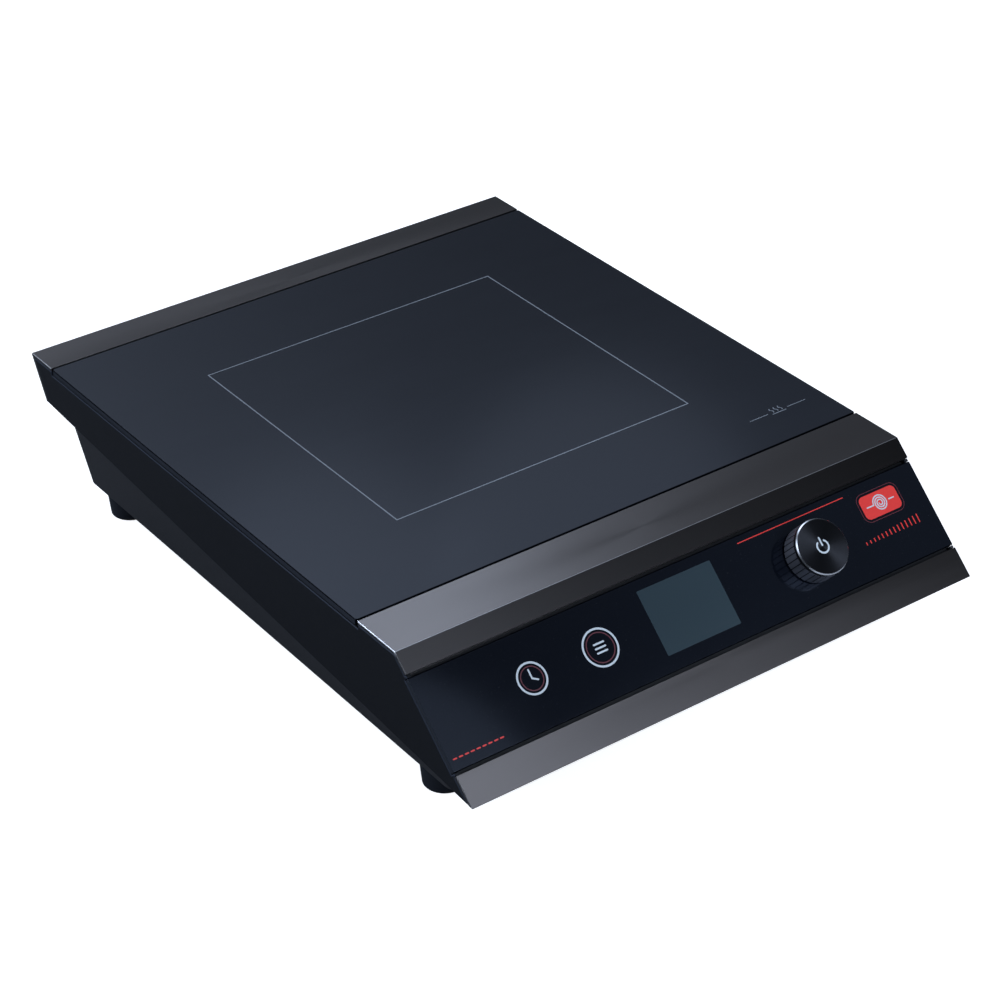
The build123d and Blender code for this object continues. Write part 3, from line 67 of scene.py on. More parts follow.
PANEL_N = furthest("control_glass", SLOPE_OUT, FOLD)
KNOB_FACE_N = furthest("knob_shell", SLOPE_OUT, FOLD)
KNOB_RADIUS = furthest("knob_shell", ACROSS, KNOB_CENTRE)

# Cooking zone printed on the top glass
zone_half = 103.5
zone_front = -61.2
zone_rear = 139.6
zone_line = 0.75

# Printing on the control glass
clock_place = (-109.4, 41.2)
clock_radius = 8.68
menu_place = (-64.0, 41.0)
menu_radius = 10.54
ring_stroke = 1.12
inner_ring_stroke = 0.6
clock_inner_radius = 6.65
menu_inner_radius = 8.4
display_place = (-3.2, 40.85)
display_size = (51.0, 38.7)
display_corner = 0.6
clock_hand_stroke = 1.0
clock_hands = ((0, 4.9), (0, 0), (3.05, -1.75))
menu_bar_stroke = 1.0
menu_bar_half = 3.2
menu_bar_gap = 2.5
hairline_s = 19.4
hairline_start = 43.7
hairline_end = 121.0
hairline_stroke = 0.5
badge_place = (143.0, 30.5)
badge_size = (27.0, 14.0)
badge_corner = 3.2
badge_frame_gap = 1.6
badge_frame_stroke = 0.4
spiral_turns = 3.0
spiral_start = 0.9
spiral_end = 5.0
spiral_steps = 96
coil_stroke = 0.75
coil_lead_end = 10.0
coil_left_lead_start = 8.5
coil_right_lead_start = 6.4
level_start = 121.5
level_end = 161.5
level_s = 47.2
level_low = 1.2
level_high = 4.6
level_count = 14
level_stroke = 0.7
dash_start = -171.5
dash_end = -138.0
dash_s = 62.8
dash_count = 9
dash_share = 0.5
dash_stroke = 0.8

# Hot surface mark printed on the top glass: waves over a bar, with a line on each side
heat_mark_x = 140.0
heat_mark_y = -99.0
heat_stroke = 0.5
wave_count = 3
wave_gap = 3.2
wave_sway = 0.55
wave_low = -0.6
wave_rise = 4.4
wave_steps = 16
heat_bar_half = 5.0
heat_bar_v = -2.0
heat_line_start = 7.6
heat_line_end = 21.0
heat_line_v = -0.3
heat_line_stroke = 0.45

# Half width of the painted highlight along the front trim's fold
fold_highlight_half_width = 1.0

# Distance down the slope past which ceramic glass belongs to the control glass
control_glass_start = 5.0

# Height of the finest surface texture
fine_texture = 0.02

# Thickness of the printing, and how deep it is sunk so that no face lies on the glass
ink_height = 0.05
ink_sink = 0.03
coil_height = 1.6 * ink_height

# Knob
icon_radius = 3.7
icon_stroke = 1.05
icon_gap = 38.0
icon_stem_low = 0.8
icon_stem_high = 5.3
knob_bevel = 0.9
knob_bright_start = 0.1
knob_bright_end = 0.66
knob_fade_in = 0.05
knob_fade_out = 0.08
knob_line = 2.7
knob_line_width = 0.3
knob_land_start = 3.1
knob_land_width = 0.25

# Camera: millimetres, and degrees with the heading from +Y towards +X
camera_lens = 101.03
camera_sensor = 36.0
camera_place = (-812.84, -1151.46, 940.45)
camera_heading = 35.561
camera_tilt = -32.525
camera_roll = -0.994

# Floor, in metres. The camera sees floor and sky as near white; reflections see a grey floor and a dark sky.
floor_radius = 12.0
floor_segments = 96
floor_grey = 0.3
floor_lift = 0.8
floor_pale_low = 0.9
floor_pale_high = 0.93
BACKDROP = (0.97, 0.975, 0.98, 1.0)

# Light that evens out the glass, trims and case. Softbox places are in metres, strengths in watts.
LIGHT_COLOUR = (0.85, 0.97, 1.2)
SKY_BASE = (0.0015, 0.0017, 0.0021)
SKY_SHARPNESS = 24.0
# Soft bright areas of the sky: azimuth from +Y towards +X, elevation, strength
SKY_GLOWS = (
    (290, 30, 7.0),  # main light, on the left side
    (0, 40, 2.4),  # left half of the top glass
    (30, 60, 1.2),  # front of the top glass
    (60, 40, 0.35),  # right half of the top glass
    (120, 40, 0.15),  # control slope
)
SOFTBOX_SIZE = 0.25
SOFTBOX_TARGET = Vector((0.0, -0.16, 0.08))
SOFTBOXES = (
    (0.05, -0.6, 0.3, 0.9),  # control slope, left and middle
    (0.25, -0.6, 0.3, 0.4),  # control slope, right
    (0.05, -0.6, 0.5, 0.06),  # control glass, left end
    (0.3, 0.27, 0.45, 0.04),  # front of the top glass
    (0.2, 0.5, 0.6, 0.05),  # middle of the top glass
)
# Softboxes that light only the trims
TRIM_SOFTBOXES = (
    (0.05, -0.53, 0.47, 0.75),  # slope faces, left end
    (0.05, -0.16, 0.55, 0.25),  # fold line
    (-0.1, 0.5, 0.6, 1.7),  # front trim's top, left end
    (0.1, 0.27, 0.45, 0.9),  # front trim's top, left and middle
    (0.3, 0.27, 0.45, 0.35),  # front trim's top, right end
)
# Softboxes behind and to the right that light only the case, which is turned away from the others
CASE_SOFTBOXES = (
    (0.1, 1.0, 0.35, 12.0),
    (1.1, -0.1, 0.35, 12.0),
)
TRIMS = ("rear_trim", "front_upper_trim", "front_lower_trim")
CASE = ("base_tub", "right_side_panel", "rubber_feet", "mains_inlet")


# Shader helpers


def add(tree, kind, inputs=None, **settings):
    """Adds a shader node. An input may be a number, a colour or another node's output."""
    made = tree.nodes.new(kind)
    for key, value in settings.items():
        setattr(made, key, value)
    for key, value in (inputs or {}).items():
        socket = made.inputs[key]
        if isinstance(value, bpy.types.NodeSocket):
            tree.links.new(value, socket)
        else:
            socket.default_value = value
    return made


def calc(tree, operation, a, b=0.0, c=0.0, clamp=False):
    """A number worked out by a math node."""
    made = add(tree, "ShaderNodeMath", {0: a, 1: b, 2: c}, operation=operation, use_clamp=clamp)
    return made.outputs[0]


def vector_calc(tree, operation, a, b=(0.0, 0.0, 0.0)):
    """A vector, or for DOT_PRODUCT and LENGTH a number, worked out by a vector math node."""
    made = add(tree, "ShaderNodeVectorMath", {0: a, 1: b}, operation=operation)
    return made.outputs["Value" if operation in ("DOT_PRODUCT", "LENGTH") else "Vector"]


def times(tree, a, b):
    """One number times another."""
    return calc(tree, "MULTIPLY", a, b)


def along(tree, vector, way):
    """How far a vector reaches along a fixed direction."""
    return vector_calc(tree, "DOT_PRODUCT", vector, tuple(way))


def vector_times(tree, vector, factor):
    """A vector or a colour times a number."""
    return add(tree, "ShaderNodeVectorMath", {0: vector, "Scale": factor}, operation="SCALE").outputs[0]


def true_normal(tree):
    """The direction that a face looks in, without any smoothing."""
    return add(tree, "ShaderNodeNewGeometry").outputs["True Normal"]


def spread(tree, value, low, high):
    """Takes a value in 0..1 to low..high."""
    made = add(tree, "ShaderNodeMapRange", {"Value": value, "To Min": low, "To Max": high})
    return made.outputs["Result"]


def step_up(tree, value, start, end):
    """0 below start, 1 above end, smooth between; with start above end, 1 below end and 0 above start."""
    inputs = {"Value": value, "From Min": start, "From Max": end}
    made = add(tree, "ShaderNodeMapRange", inputs, interpolation_type="SMOOTHSTEP")
    return made.outputs["Result"]


def mixed(tree, factor, a, b):
    """A colour between two colours. Colour sockets share their names with others, so they go by number."""
    made = add(tree, "ShaderNodeMix", {"Factor": factor}, data_type="RGBA")
    for index, value in ((6, a), (7, b)):
        if isinstance(value, bpy.types.NodeSocket):
            tree.links.new(value, made.inputs[index])
        else:
            made.inputs[index].default_value = value
    return made.outputs[2]


def grey(value):
    return (value, value, value, 1.0)


def scaled(colour, factor):
    return (colour[0] * factor, colour[1] * factor, colour[2] * factor, 1.0)


def blank(name):
    """A material with an empty tree, and its object coordinates."""
    material = bpy.data.materials.new(name)
    material.use_nodes = True
    tree = material.node_tree
    tree.nodes.clear()
    coordinates = add(tree, "ShaderNodeTexCoord").outputs["Object"]
    return material, tree, coordinates


def stretched(tree, coordinates, scale):
    return add(tree, "ShaderNodeMapping", {"Vector": coordinates, "Scale": scale}).outputs[0]


def noise(tree, coordinates, scale, detail=2.0, roughness=0.5):
    inputs = {"Vector": coordinates, "Scale": scale, "Detail": detail, "Roughness": roughness}
    return add(tree, "ShaderNodeTexNoise", inputs).outputs["Fac"]


def waves(tree, inputs, way):
    return add(tree, "ShaderNodeTexWave", inputs, bands_direction=way).outputs["Fac"]


def edge_wear(tree, radius, reach):
    """1 along convex and concave edges, 0 on flat faces, and the rounded normal that it comes from."""
    rounded = add(tree, "ShaderNodeBevel", {"Radius": radius}, samples=4).outputs["Normal"]
    flat = add(tree, "ShaderNodeNewGeometry").outputs["Normal"]
    turn = calc(tree, "SUBTRACT", 1.0, vector_calc(tree, "DOT_PRODUCT", rounded, flat))
    return step_up(tree, turn, 0.0, reach), rounded


def bump(tree, height, strength, distance, normal=None):
    inputs = {"Height": height, "Strength": strength, "Distance": distance}
    if normal is not None:
        inputs["Normal"] = normal
    return add(tree, "ShaderNodeBump", inputs).outputs["Normal"]


def finish_surface(tree, inputs):
    shader = add(tree, "ShaderNodeBsdfPrincipled", inputs)
    add(tree, "ShaderNodeOutputMaterial", {"Surface": shader.outputs[0]})


# Materials


def facing(tree, way, start=0.93, end=0.97):
    """1 on faces that look along a direction, 0 elsewhere."""
    return step_up(tree, along(tree, true_normal(tree), way), start, end)


def end_chamfer(tree):
    """1 on the narrow sloping faces that break a piece's left and right edges, 0 elsewhere."""
    sideways = calc(tree, "ABSOLUTE", along(tree, true_normal(tree), ACROSS))
    return times(tree, step_up(tree, sideways, 0.3, 0.5), step_up(tree, sideways, 0.92, 0.85))


def anodised(name, colour, roughness, sheen_colour, edge_wear_and_highlight_colour, end_highlight_level, slope_shade_gain=1.0):
    """Black anodised aluminium: faint lines along its length, fine grain, faint edge wear, a painted highlight on
    the fold and the end edges (brighter where they face up), and with the last argument painted shade on the faces
    that look out of the slope.
    """
    material, tree, place = blank(name)
    # Painted shade: faces that look out of the slope are darkened by the last argument
    slope_shade_factor = spread(tree, facing(tree, SLOPE_OUT), 1.0, slope_shade_gain)
    lines = noise(tree, stretched(tree, place, (6.0, 1400.0, 1400.0)), 1.0, 3.0, 0.6)
    grain = noise(tree, place, 3800.0, 1.0)
    cloud = noise(tree, place, 9.0, 3.0)
    wear, rounded = edge_wear(tree, 0.45 * MM, 0.06)
    scuff = noise(tree, place, 160.0, 3.0, 0.65)
    base = mixed(tree, cloud, scaled(colour, 0.88), scaled(colour, 1.12))
    base = mixed(tree, times(tree, lines, 0.35), base, scaled(colour, 1.25))
    base = vector_times(tree, base, slope_shade_factor)
    # Painted highlight: a bright line along the fold, and bright end chamfers that are brighter where they face up
    fold_offset = calc(tree, "SUBTRACT", along(tree, place, BACK), FOLD.y)
    at_fold = calc(tree, "LESS_THAN", calc(tree, "ABSOLUTE", fold_offset), fold_highlight_half_width * MM)
    on_faces = calc(tree, "MAXIMUM", facing(tree, UP, 0.985, 0.995), facing(tree, SLOPE_OUT, 0.985, 0.995))
    fold_highlight = times(tree, at_fold, calc(tree, "SUBTRACT", 1.0, on_faces))
    end_highlight_by_facing = spread(tree, facing(tree, UP, 0.55, 0.65), 0.15, end_highlight_level)
    end_chamfer_highlight = times(tree, end_chamfer(tree), end_highlight_by_facing)
    bright = calc(tree, "MAXIMUM", end_chamfer_highlight, times(tree, fold_highlight, 0.35))
    bright = times(tree, bright, spread(tree, scuff, 0.85, 0.95))
    # Faint real edge wear, with the painted highlight laid over it, both in the edge colour
    wear_and_highlight = times(tree, wear, spread(tree, scuff, 0.0, 0.06))
    wear_and_highlight = calc(tree, "MAXIMUM", wear_and_highlight, bright, clamp=True)
    base = mixed(tree, wear_and_highlight, base, edge_wear_and_highlight_colour)
    rough = spread(tree, lines, roughness - 0.05, roughness + 0.05)
    rough = calc(tree, "ADD", rough, spread(tree, grain, -0.02, 0.02))
    rough = calc(tree, "MULTIPLY_ADD", wear, -0.12, rough)
    normal = bump(tree, grain, 0.12, fine_texture * MM, rounded)
    normal = bump(tree, lines, 0.10, fine_texture * MM, normal)
    finish_surface(
        tree,
        {
            "Base Color": base,
            "Metallic": 0.85,
            "Roughness": rough,
            "Anisotropic": 0.25,
            "Specular Tint": sheen_colour,
            "Normal": normal,
        },
    )
    return material


def ceramic(name, colour, roughness, specular):
    """Black ceramic glass: polished faces with faint wipe marks, painted shade on the chamfers and other faces
    (darker colour, weaker reflection), and matt ground ends.
    """
    material, tree, place = blank(name)
    wipe = noise(tree, stretched(tree, place, (14.0, 55.0, 55.0)), 1.0, 4.0, 0.6)
    haze = noise(tree, place, 5.0, 2.0)
    dust = step_up(tree, noise(tree, place, 1500.0, 1.0), 0.71, 0.78)
    ground_grain = noise(tree, place, 2400.0, 2.0)
    down_slope = along(tree, vector_calc(tree, "SUBTRACT", place, tuple(FOLD)), SLOPE_DOWN)
    below_fold = calc(tree, "GREATER_THAN", down_slope, control_glass_start * MM)
    on_slope = times(tree, facing(tree, SLOPE_OUT), below_fold)
    polished = calc(tree, "MAXIMUM", facing(tree, UP), on_slope)
    ground = calc(tree, "MAXIMUM", facing(tree, ACROSS), facing(tree, -ACROSS))
    base = mixed(tree, haze, scaled(colour, 0.92), scaled(colour, 1.08))
    base = mixed(tree, times(tree, dust, 0.06), base, grey(0.35))
    # Painted shade: faces other than the top and slope faces are darkened, and further down their reflection is
    # weakened too
    base = mixed(tree, calc(tree, "SUBTRACT", 1.0, polished), base, scaled(colour, 0.3))
    slope_end = times(tree, end_chamfer(tree), below_fold)
    ground = calc(tree, "MAXIMUM", ground, slope_end)
    base = mixed(tree, times(tree, ground, spread(tree, ground_grain, 0.8, 1.0)), base, GROUND_GLASS)
    rough = spread(tree, wipe, roughness - 0.025, roughness + 0.03)
    rough = calc(tree, "ADD", rough, spread(tree, haze, -0.01, 0.01))
    rough = calc(tree, "MULTIPLY_ADD", ground, 0.4, rough)
    rounded = add(tree, "ShaderNodeBevel", {"Radius": 0.25 * MM}, samples=4).outputs["Normal"]
    finish_surface(
        tree,
        {
            "Base Color": base,
            "Roughness": rough,
            "IOR": 1.52,
            "Specular IOR Level": spread(tree, polished, specular * 0.1, specular),
            "Specular Tint": GLASS_TINT,
            "Normal": bump(tree, wipe, 0.02, fine_texture * MM, rounded),
        },
    )
    return material


def coated(name, colour, roughness, specular, texture_scale, texture_depth, end_chamfer_highlight_gain=0.0):
    """Fine powder coat: an even orange-peel texture with lighter worn edges; a last argument above zero brightens
    the end chamfers as a painted highlight.
    """
    material, tree, place = blank(name)
    peel = noise(tree, place, texture_scale, 3.0, 0.55)
    cloud = noise(tree, place, 12.0, 3.0)
    wear, rounded = edge_wear(tree, 0.5 * MM, 0.08)
    base = mixed(tree, cloud, scaled(colour, 0.85), scaled(colour, 1.15))
    base = mixed(tree, times(tree, wear, 0.35), base, scaled(colour, 2.6))
    # Painted highlight: the end chamfers are brightened by the last argument
    if end_chamfer_highlight_gain:
        base = mixed(tree, end_chamfer(tree), base, scaled(colour, end_chamfer_highlight_gain))
    finish_surface(
        tree,
        {
            "Base Color": base,
            "Roughness": spread(tree, peel, roughness - 0.06, roughness + 0.06),
            "Specular IOR Level": specular,
            "Normal": bump(tree, peel, 0.25, texture_depth * MM, rounded),
        },
    )
    return material


def rubbery(name, colour):
    """Moulded rubber: matt, slightly mottled, with a fine mould texture."""
    material, tree, place = blank(name)
    mottle = noise(tree, place, 220.0, 4.0, 0.6)
    fine = noise(tree, place, 2600.0, 2.0)
    wear, rounded = edge_wear(tree, 0.8 * MM, 0.1)
    base = mixed(tree, mottle, scaled(colour, 0.8), scaled(colour, 1.25))
    base = mixed(tree, times(tree, wear, 0.3), base, scaled(colour, 2.2))
    finish_surface(
        tree,
        {
            "Base Color": base,
            "Roughness": spread(tree, mottle, 0.55, 0.75),
            "Specular IOR Level": 0.35,
            "Normal": bump(tree, fine, 0.3, 0.03 * MM, rounded),
        },
    )
    return material


def printed(name, colour, glow=0.0):
    """Screen-printed ink: even, slightly rough, with tiny differences in cover; glow makes the ink give off light
    of its own, painted light that brightens the print.
    """
    material, tree, place = blank(name)
    cover = noise(tree, place, 900.0, 3.0, 0.6)
    base = mixed(tree, cover, scaled(colour, 0.9), scaled(colour, 1.06))
    finish_surface(
        tree,
        {
            "Base Color": base,
            "Roughness": spread(tree, cover, 0.32, 0.48),
            "Specular IOR Level": 0.3,
            "Emission Color": base,
            "Emission Strength": glow,
        },
    )
    return material


def display_face(name, colour):
    """Grey display behind glass: faint clouding and barely visible fine stripes."""
    material, tree, place = blank(name)
    soft = noise(tree, place, 14.0, 2.0)
    rows = waves(tree, {"Vector": place, "Scale": 420.0}, "X")
    base = mixed(tree, soft, scaled(colour, 0.92), scaled(colour, 1.08))
    base = mixed(tree, times(tree, rows, 0.10), base, scaled(colour, 0.7))
    finish_surface(
        tree,
        {
            "Base Color": base,
            "Roughness": spread(tree, soft, 0.10, 0.16),
            "Specular IOR Level": 0.5,
        },
    )
    return material


def spun_knob(name, colour):
    """Black turned aluminium: tool marks round the face, a bright bevel and a bright line on the side."""
    material, tree, place = blank(name)
    away = vector_calc(tree, "SUBTRACT", place, tuple(KNOB_CENTRE))
    height = along(tree, away, SLOPE_OUT)
    radial = vector_calc(tree, "SUBTRACT", away, vector_times(tree, tuple(SLOPE_OUT), height))
    radius = vector_calc(tree, "LENGTH", radial)
    around = vector_calc(tree, "CROSS_PRODUCT", tuple(SLOPE_OUT), radial)
    tangent = add(
        tree,
        "ShaderNodeVectorTransform",
        {"Vector": around},
        vector_type="VECTOR",
        convert_from="OBJECT",
        convert_to="WORLD",
    ).outputs[0]
    tangent = vector_calc(tree, "NORMALIZE", tangent)
    bevel_start = KNOB_RADIUS - knob_bevel * MM
    below_face = calc(tree, "SUBTRACT", KNOB_FACE_N, height)
    on_face = step_up(tree, below_face, 0.06 * MM, 0.02 * MM)
    below_start = step_up(tree, below_face, (knob_bright_start - knob_fade_in) * MM, knob_bright_start * MM)
    above_end = step_up(tree, below_face, (knob_bright_end + knob_fade_out) * MM, knob_bright_end * MM)
    outside = calc(tree, "GREATER_THAN", radius, bevel_start - 0.02 * MM)
    bevel = times(tree, times(tree, below_start, above_end), outside)
    line_offset = calc(tree, "ABSOLUTE", calc(tree, "SUBTRACT", below_face, knob_line * MM))
    line = calc(tree, "LESS_THAN", line_offset, knob_line_width / 2 * MM)
    polished = calc(tree, "MAXIMUM", bevel, times(tree, line, 0.5))
    on_land = calc(tree, "GREATER_THAN", radius, KNOB_RADIUS - knob_land_width * MM)
    on_land = times(tree, on_land, calc(tree, "GREATER_THAN", below_face, knob_land_start * MM))
    radius_only = add(tree, "ShaderNodeCombineXYZ", {"X": radius}).outputs[0]
    marks = noise(tree, radius_only, 5200.0, 3.0, 0.7)
    grain = noise(tree, place, 900.0, 2.0)
    base = mixed(tree, marks, scaled(colour, 0.7), scaled(colour, 1.5))
    base = mixed(tree, times(tree, on_land, spread(tree, grain, 0.7, 1.0)), base, KNOB_LAND)
    base = mixed(tree, polished, base, KNOB_BRIGHT)
    rough = spread(tree, marks, 0.24, 0.36)
    rough = calc(tree, "MULTIPLY_ADD", on_land, 0.15, rough)
    rough = calc(tree, "ADD", rough, spread(tree, grain, -0.03, 0.03))
    rough = calc(tree, "MULTIPLY_ADD", polished, -0.16, rough)
    normal = bump(tree, times(tree, marks, on_face), 0.08, fine_texture * MM)
    finish_surface(
        tree,
        {
            "Base Color": base,
            "Metallic": 0.95,
            "Roughness": rough,
            "Anisotropic": times(tree, on_face, 0.85),
            "Tangent": tangent,
            "Normal": normal,
        },
    )
    return material


def metal(name, colour, roughness, stretch=(40.0, 40.0, 900.0)):
    """Bare or plated metal with faint working lines and small stains."""
    material, tree, place = blank(name)
    lines = noise(tree, stretched(tree, place, stretch), 1.0, 3.0, 0.6)
    stain = noise(tree, place, 60.0, 4.0)
    wear, rounded = edge_wear(tree, 0.25 * MM, 0.08)
    base = mixed(tree, stain, scaled(colour, 0.82), scaled(colour, 1.05))
    base = mixed(tree, times(tree, wear, 0.3), base, scaled(colour, 1.25))
    finish_surface(
        tree,
        {
            "Base Color": base,
            "Metallic": 1.0,
            "Roughness": spread(tree, lines, roughness - 0.06, roughness + 0.08),
            "Normal": bump(tree, lines, 0.1, fine_texture * MM, rounded),
        },
    )
    return material


def plastic(name, colour, roughness):
    """Moulded plastic with a light spark-eroded texture."""
    material, tree, place = blank(name)
    texture = noise(tree, place, 1800.0, 2.0)
    cloud = noise(tree, place, 25.0, 2.0)
    wear, rounded = edge_wear(tree, 0.3 * MM, 0.08)
    base = mixed(tree, cloud, scaled(colour, 0.9), scaled(colour, 1.1))
    base = mixed(tree, times(tree, wear, 0.25), base, scaled(colour, 1.5))
    finish_surface(
        tree,
        {
            "Base Color": base,
            "Roughness": spread(tree, texture, roughness - 0.05, roughness + 0.08),
            "Normal": bump(tree, texture, 0.15, fine_texture * MM, rounded),
        },
    )
    return material


def litz(name, colour, strand_scale):
    """Stranded wire: diagonal strands with painted shade in the gaps between them."""
    material, tree, place = blank(name)
    strands = waves(tree, {"Vector": place, "Scale": strand_scale, "Distortion": 1.5}, "DIAGONAL")
    patch = noise(tree, place, 80.0, 3.0)
    # Painted shade: the gaps between strands are darkened
    base = mixed(tree, strands, scaled(colour, 0.35), scaled(colour, 1.1))
    base = mixed(tree, times(tree, patch, 0.3), base, scaled(colour, 0.6))
    finish_surface(
        tree,
        {
            "Base Color": base,
            "Metallic": 0.8,
            "Roughness": spread(tree, patch, 0.3, 0.45),
            "Normal": bump(tree, strands, 0.5, 0.15 * MM),
        },
    )
    return material


def board(name, colour):
    """Circuit board: solder mask over faint copper areas, with small pads."""
    material, tree, place = blank(name)
    copper = add(tree, "ShaderNodeTexVoronoi", {"Vector": place, "Scale": 130.0}, distance="MANHATTAN")
    tracks = step_up(tree, copper.outputs["Distance"], 0.38, 0.42)
    dots = add(tree, "ShaderNodeTexVoronoi", {"Vector": place, "Scale": 210.0})
    pad = step_up(tree, dots.outputs["Distance"], 0.16, 0.12)
    base = mixed(tree, tracks, scaled(colour, 1.3), scaled(colour, 0.8))
    base = mixed(tree, pad, base, SOLDER)
    finish_surface(
        tree,
        {
            "Base Color": base,
            "Metallic": times(tree, pad, 0.9),
            "Roughness": spread(tree, noise(tree, place, 300.0), 0.25, 0.4),
            "Normal": bump(tree, tracks, 0.2, 0.04 * MM),
        },
    )
    return material


def layered(name, colour):
    """Mica: thin uneven layers with pale flakes."""
    material, tree, place = blank(name)
    flakes = add(tree, "ShaderNodeTexVoronoi", {"Vector": place, "Scale": 240.0}).outputs["Color"]
    patch = noise(tree, place, 30.0, 4.0)
    base = mixed(tree, patch, scaled(colour, 0.8), scaled(colour, 1.1))
    base = mixed(tree, 0.12, base, flakes)
    finish_surface(tree, {"Base Color": base, "Roughness": spread(tree, patch, 0.35, 0.55)})
    return material


TRIM = (0.047, 0.0425, 0.040)
SHEEN = (0.95, 0.97, 1.0, 1.0)
# Colour of the faint edge wear and of the painted highlight on the trims' fold and end chamfers
EDGE_WEAR_AND_HIGHLIGHT = (0.8, 0.81, 0.82, 1.0)
GLASS = (0.0025, 0.0036, 0.0065)
GLASS_TINT = (0.74, 0.83, 1.0, 1.0)
GROUND_GLASS = (0.03, 0.034, 0.042, 1.0)
KNOB_LAND = (0.3, 0.31, 0.35, 1.0)
KNOB_BRIGHT = (0.88, 0.9, 0.93, 1.0)
SOLDER = (0.62, 0.62, 0.6, 1.0)
MATERIALS = {
    "trim_aluminium": anodised("black_anodised_trim", TRIM, 0.36, SHEEN, EDGE_WEAR_AND_HIGHLIGHT, 0.4),
    # The side panel gets a painted highlight, eight times its colour, on its end chamfers
    "panel_aluminium": coated("black_side_panel", (0.0042, 0.0052, 0.0075), 0.42, 0.16, 1500.0, 0.03, 8.0),
    "tub_sheet": coated("dark_tub_coat", (0.011, 0.012, 0.0147), 0.48, 0.35, 1100.0, 0.05),
    "black_glass": ceramic("black_ceramic_glass", GLASS, 0.2, 0.6),
    "foot_rubber": rubbery("foot_rubber", (0.005, 0.0078, 0.013)),
    "seal_rubber": rubbery("seal_rubber", (0.004, 0.004, 0.005)),
    "knob_aluminium": spun_knob("black_turned_knob", (0.035, 0.036, 0.04)),
    "zinc_steel": metal("zinc_steel", (0.62, 0.62, 0.6), 0.28),
    "black_steel": metal("black_steel", (0.06, 0.06, 0.065), 0.4),
    "spring_steel": metal("spring_steel", (0.55, 0.55, 0.54), 0.25),
    "sheet_aluminium": metal("sheet_aluminium", (0.72, 0.73, 0.74), 0.38, (30.0, 800.0, 800.0)),
    "brass_metal": metal("bare_brass", (0.72, 0.52, 0.24), 0.3),
    "tinned_brass": metal("nickel_plate", (0.7, 0.68, 0.63), 0.22),
    "winding_copper": litz("copper_litz", (0.62, 0.27, 0.12), 900.0),
    "black_plastic": plastic("black_plastic", (0.018, 0.018, 0.02), 0.45),
    "grey_plastic": plastic("grey_plastic", (0.24, 0.25, 0.26), 0.5),
    "heat_plastic": plastic("heat_plastic", (0.6, 0.57, 0.5), 0.55),
    "display_grey": display_face("display_module", (0.08, 0.11, 0.14)),
    "board_green": board("circuit_board", (0.02, 0.12, 0.05)),
    "cable_white": plastic("flat_cable", (0.7, 0.7, 0.68), 0.4),
    "ferrite_grey": coated("ferrite", (0.045, 0.045, 0.05), 0.6, 0.3, 700.0, 0.08),
    "mica_grey": layered("mica", (0.5, 0.47, 0.4)),
    "sensor_white": plastic("sensor_sleeve", (0.75, 0.74, 0.7), 0.5),
    "holder_silicone": rubbery("holder_silicone", (0.4, 0.06, 0.04)),
    "component_black": plastic("component_black", (0.02, 0.02, 0.022), 0.35),
    "capacitor_yellow": plastic("capacitor_case", (0.62, 0.42, 0.05), 0.3),
    "choke_copper": litz("choke_winding", (0.55, 0.25, 0.1), 700.0),
    "transformer_yellow": plastic("transformer_tape", (0.65, 0.5, 0.12), 0.4),
    "lead_sleeve": rubbery("lead_sleeve", (0.05, 0.05, 0.055)),
}

# The white and red inks glow: painted light that brightens the print
GLOWING_INK_WHITE = printed("glowing_ink_white", (0.5, 0.57, 0.62), 0.3)
INK_GREY = printed("ink_grey", (0.3, 0.33, 0.36))
GLOWING_INK_RED = printed("glowing_ink_red", (0.66, 0.045, 0.04), 0.35)
INK_DULL_RED = printed("ink_dull_red", (0.16, 0.035, 0.045))
DISPLAY = display_face("display_window", (0.038, 0.06, 0.07))
INKS = {
    "white": GLOWING_INK_WHITE,
    "grey": INK_GREY,
    "red": GLOWING_INK_RED,
    "dull_red": INK_DULL_RED,
    "display": DISPLAY,
}

# Nodes that don't take the look of their slot: the control glass is glossier than the top glass, the front
# trims differ from the rear one in how bright the painted highlight on their ends is, and the upper one has
# painted shade on the slope
NODE_MATERIALS = {
    "control_glass": ceramic("black_control_glass", GLASS, 0.1, 0.6),
    "front_upper_trim": anodised("black_anodised_upper_trim", TRIM, 0.36, SHEEN, EDGE_WEAR_AND_HIGHLIGHT, 1.0, 0.42),
    "front_lower_trim": anodised("black_anodised_lower_trim", TRIM, 0.36, SHEEN, EDGE_WEAR_AND_HIGHLIGHT, 0.3),
}


def dress_nodes():
    """Gives each CAD node its own material, or the one of its slot in the record."""
    for entry in frame["record"]["subparts"]:
        node = frame["nodes"][entry["node"]]
        node.data.materials.clear()
        node.data.materials.append(NODE_MATERIALS.get(entry["node"]) or MATERIALS[entry["material_slot"]])


# Thin printed shapes, drawn flat as (u, v) in millimetres and then set down on a face


def arc(centre, radius, start, end, steps=64):
    """Points along an arc, angles in degrees."""
    points = []
    for i in range(steps + 1):
        angle = math.radians(start + (end - start) * i / steps)
        points.append((centre[0] + radius * math.cos(angle), centre[1] + radius * math.sin(angle)))
    return points


def rounded_box(centre, size, corner, steps=8):
    """Closed outline of a rounded rectangle."""
    points = []
    half_u = size[0] / 2 - corner
    half_v = size[1] / 2 - corner
    for i, (side_u, side_v) in enumerate(((1, 1), (-1, 1), (-1, -1), (1, -1))):
        middle = (centre[0] + side_u * half_u, centre[1] + side_v * half_v)
        points += arc(middle, corner, 90 * i, 90 * (i + 1), steps)
    return points


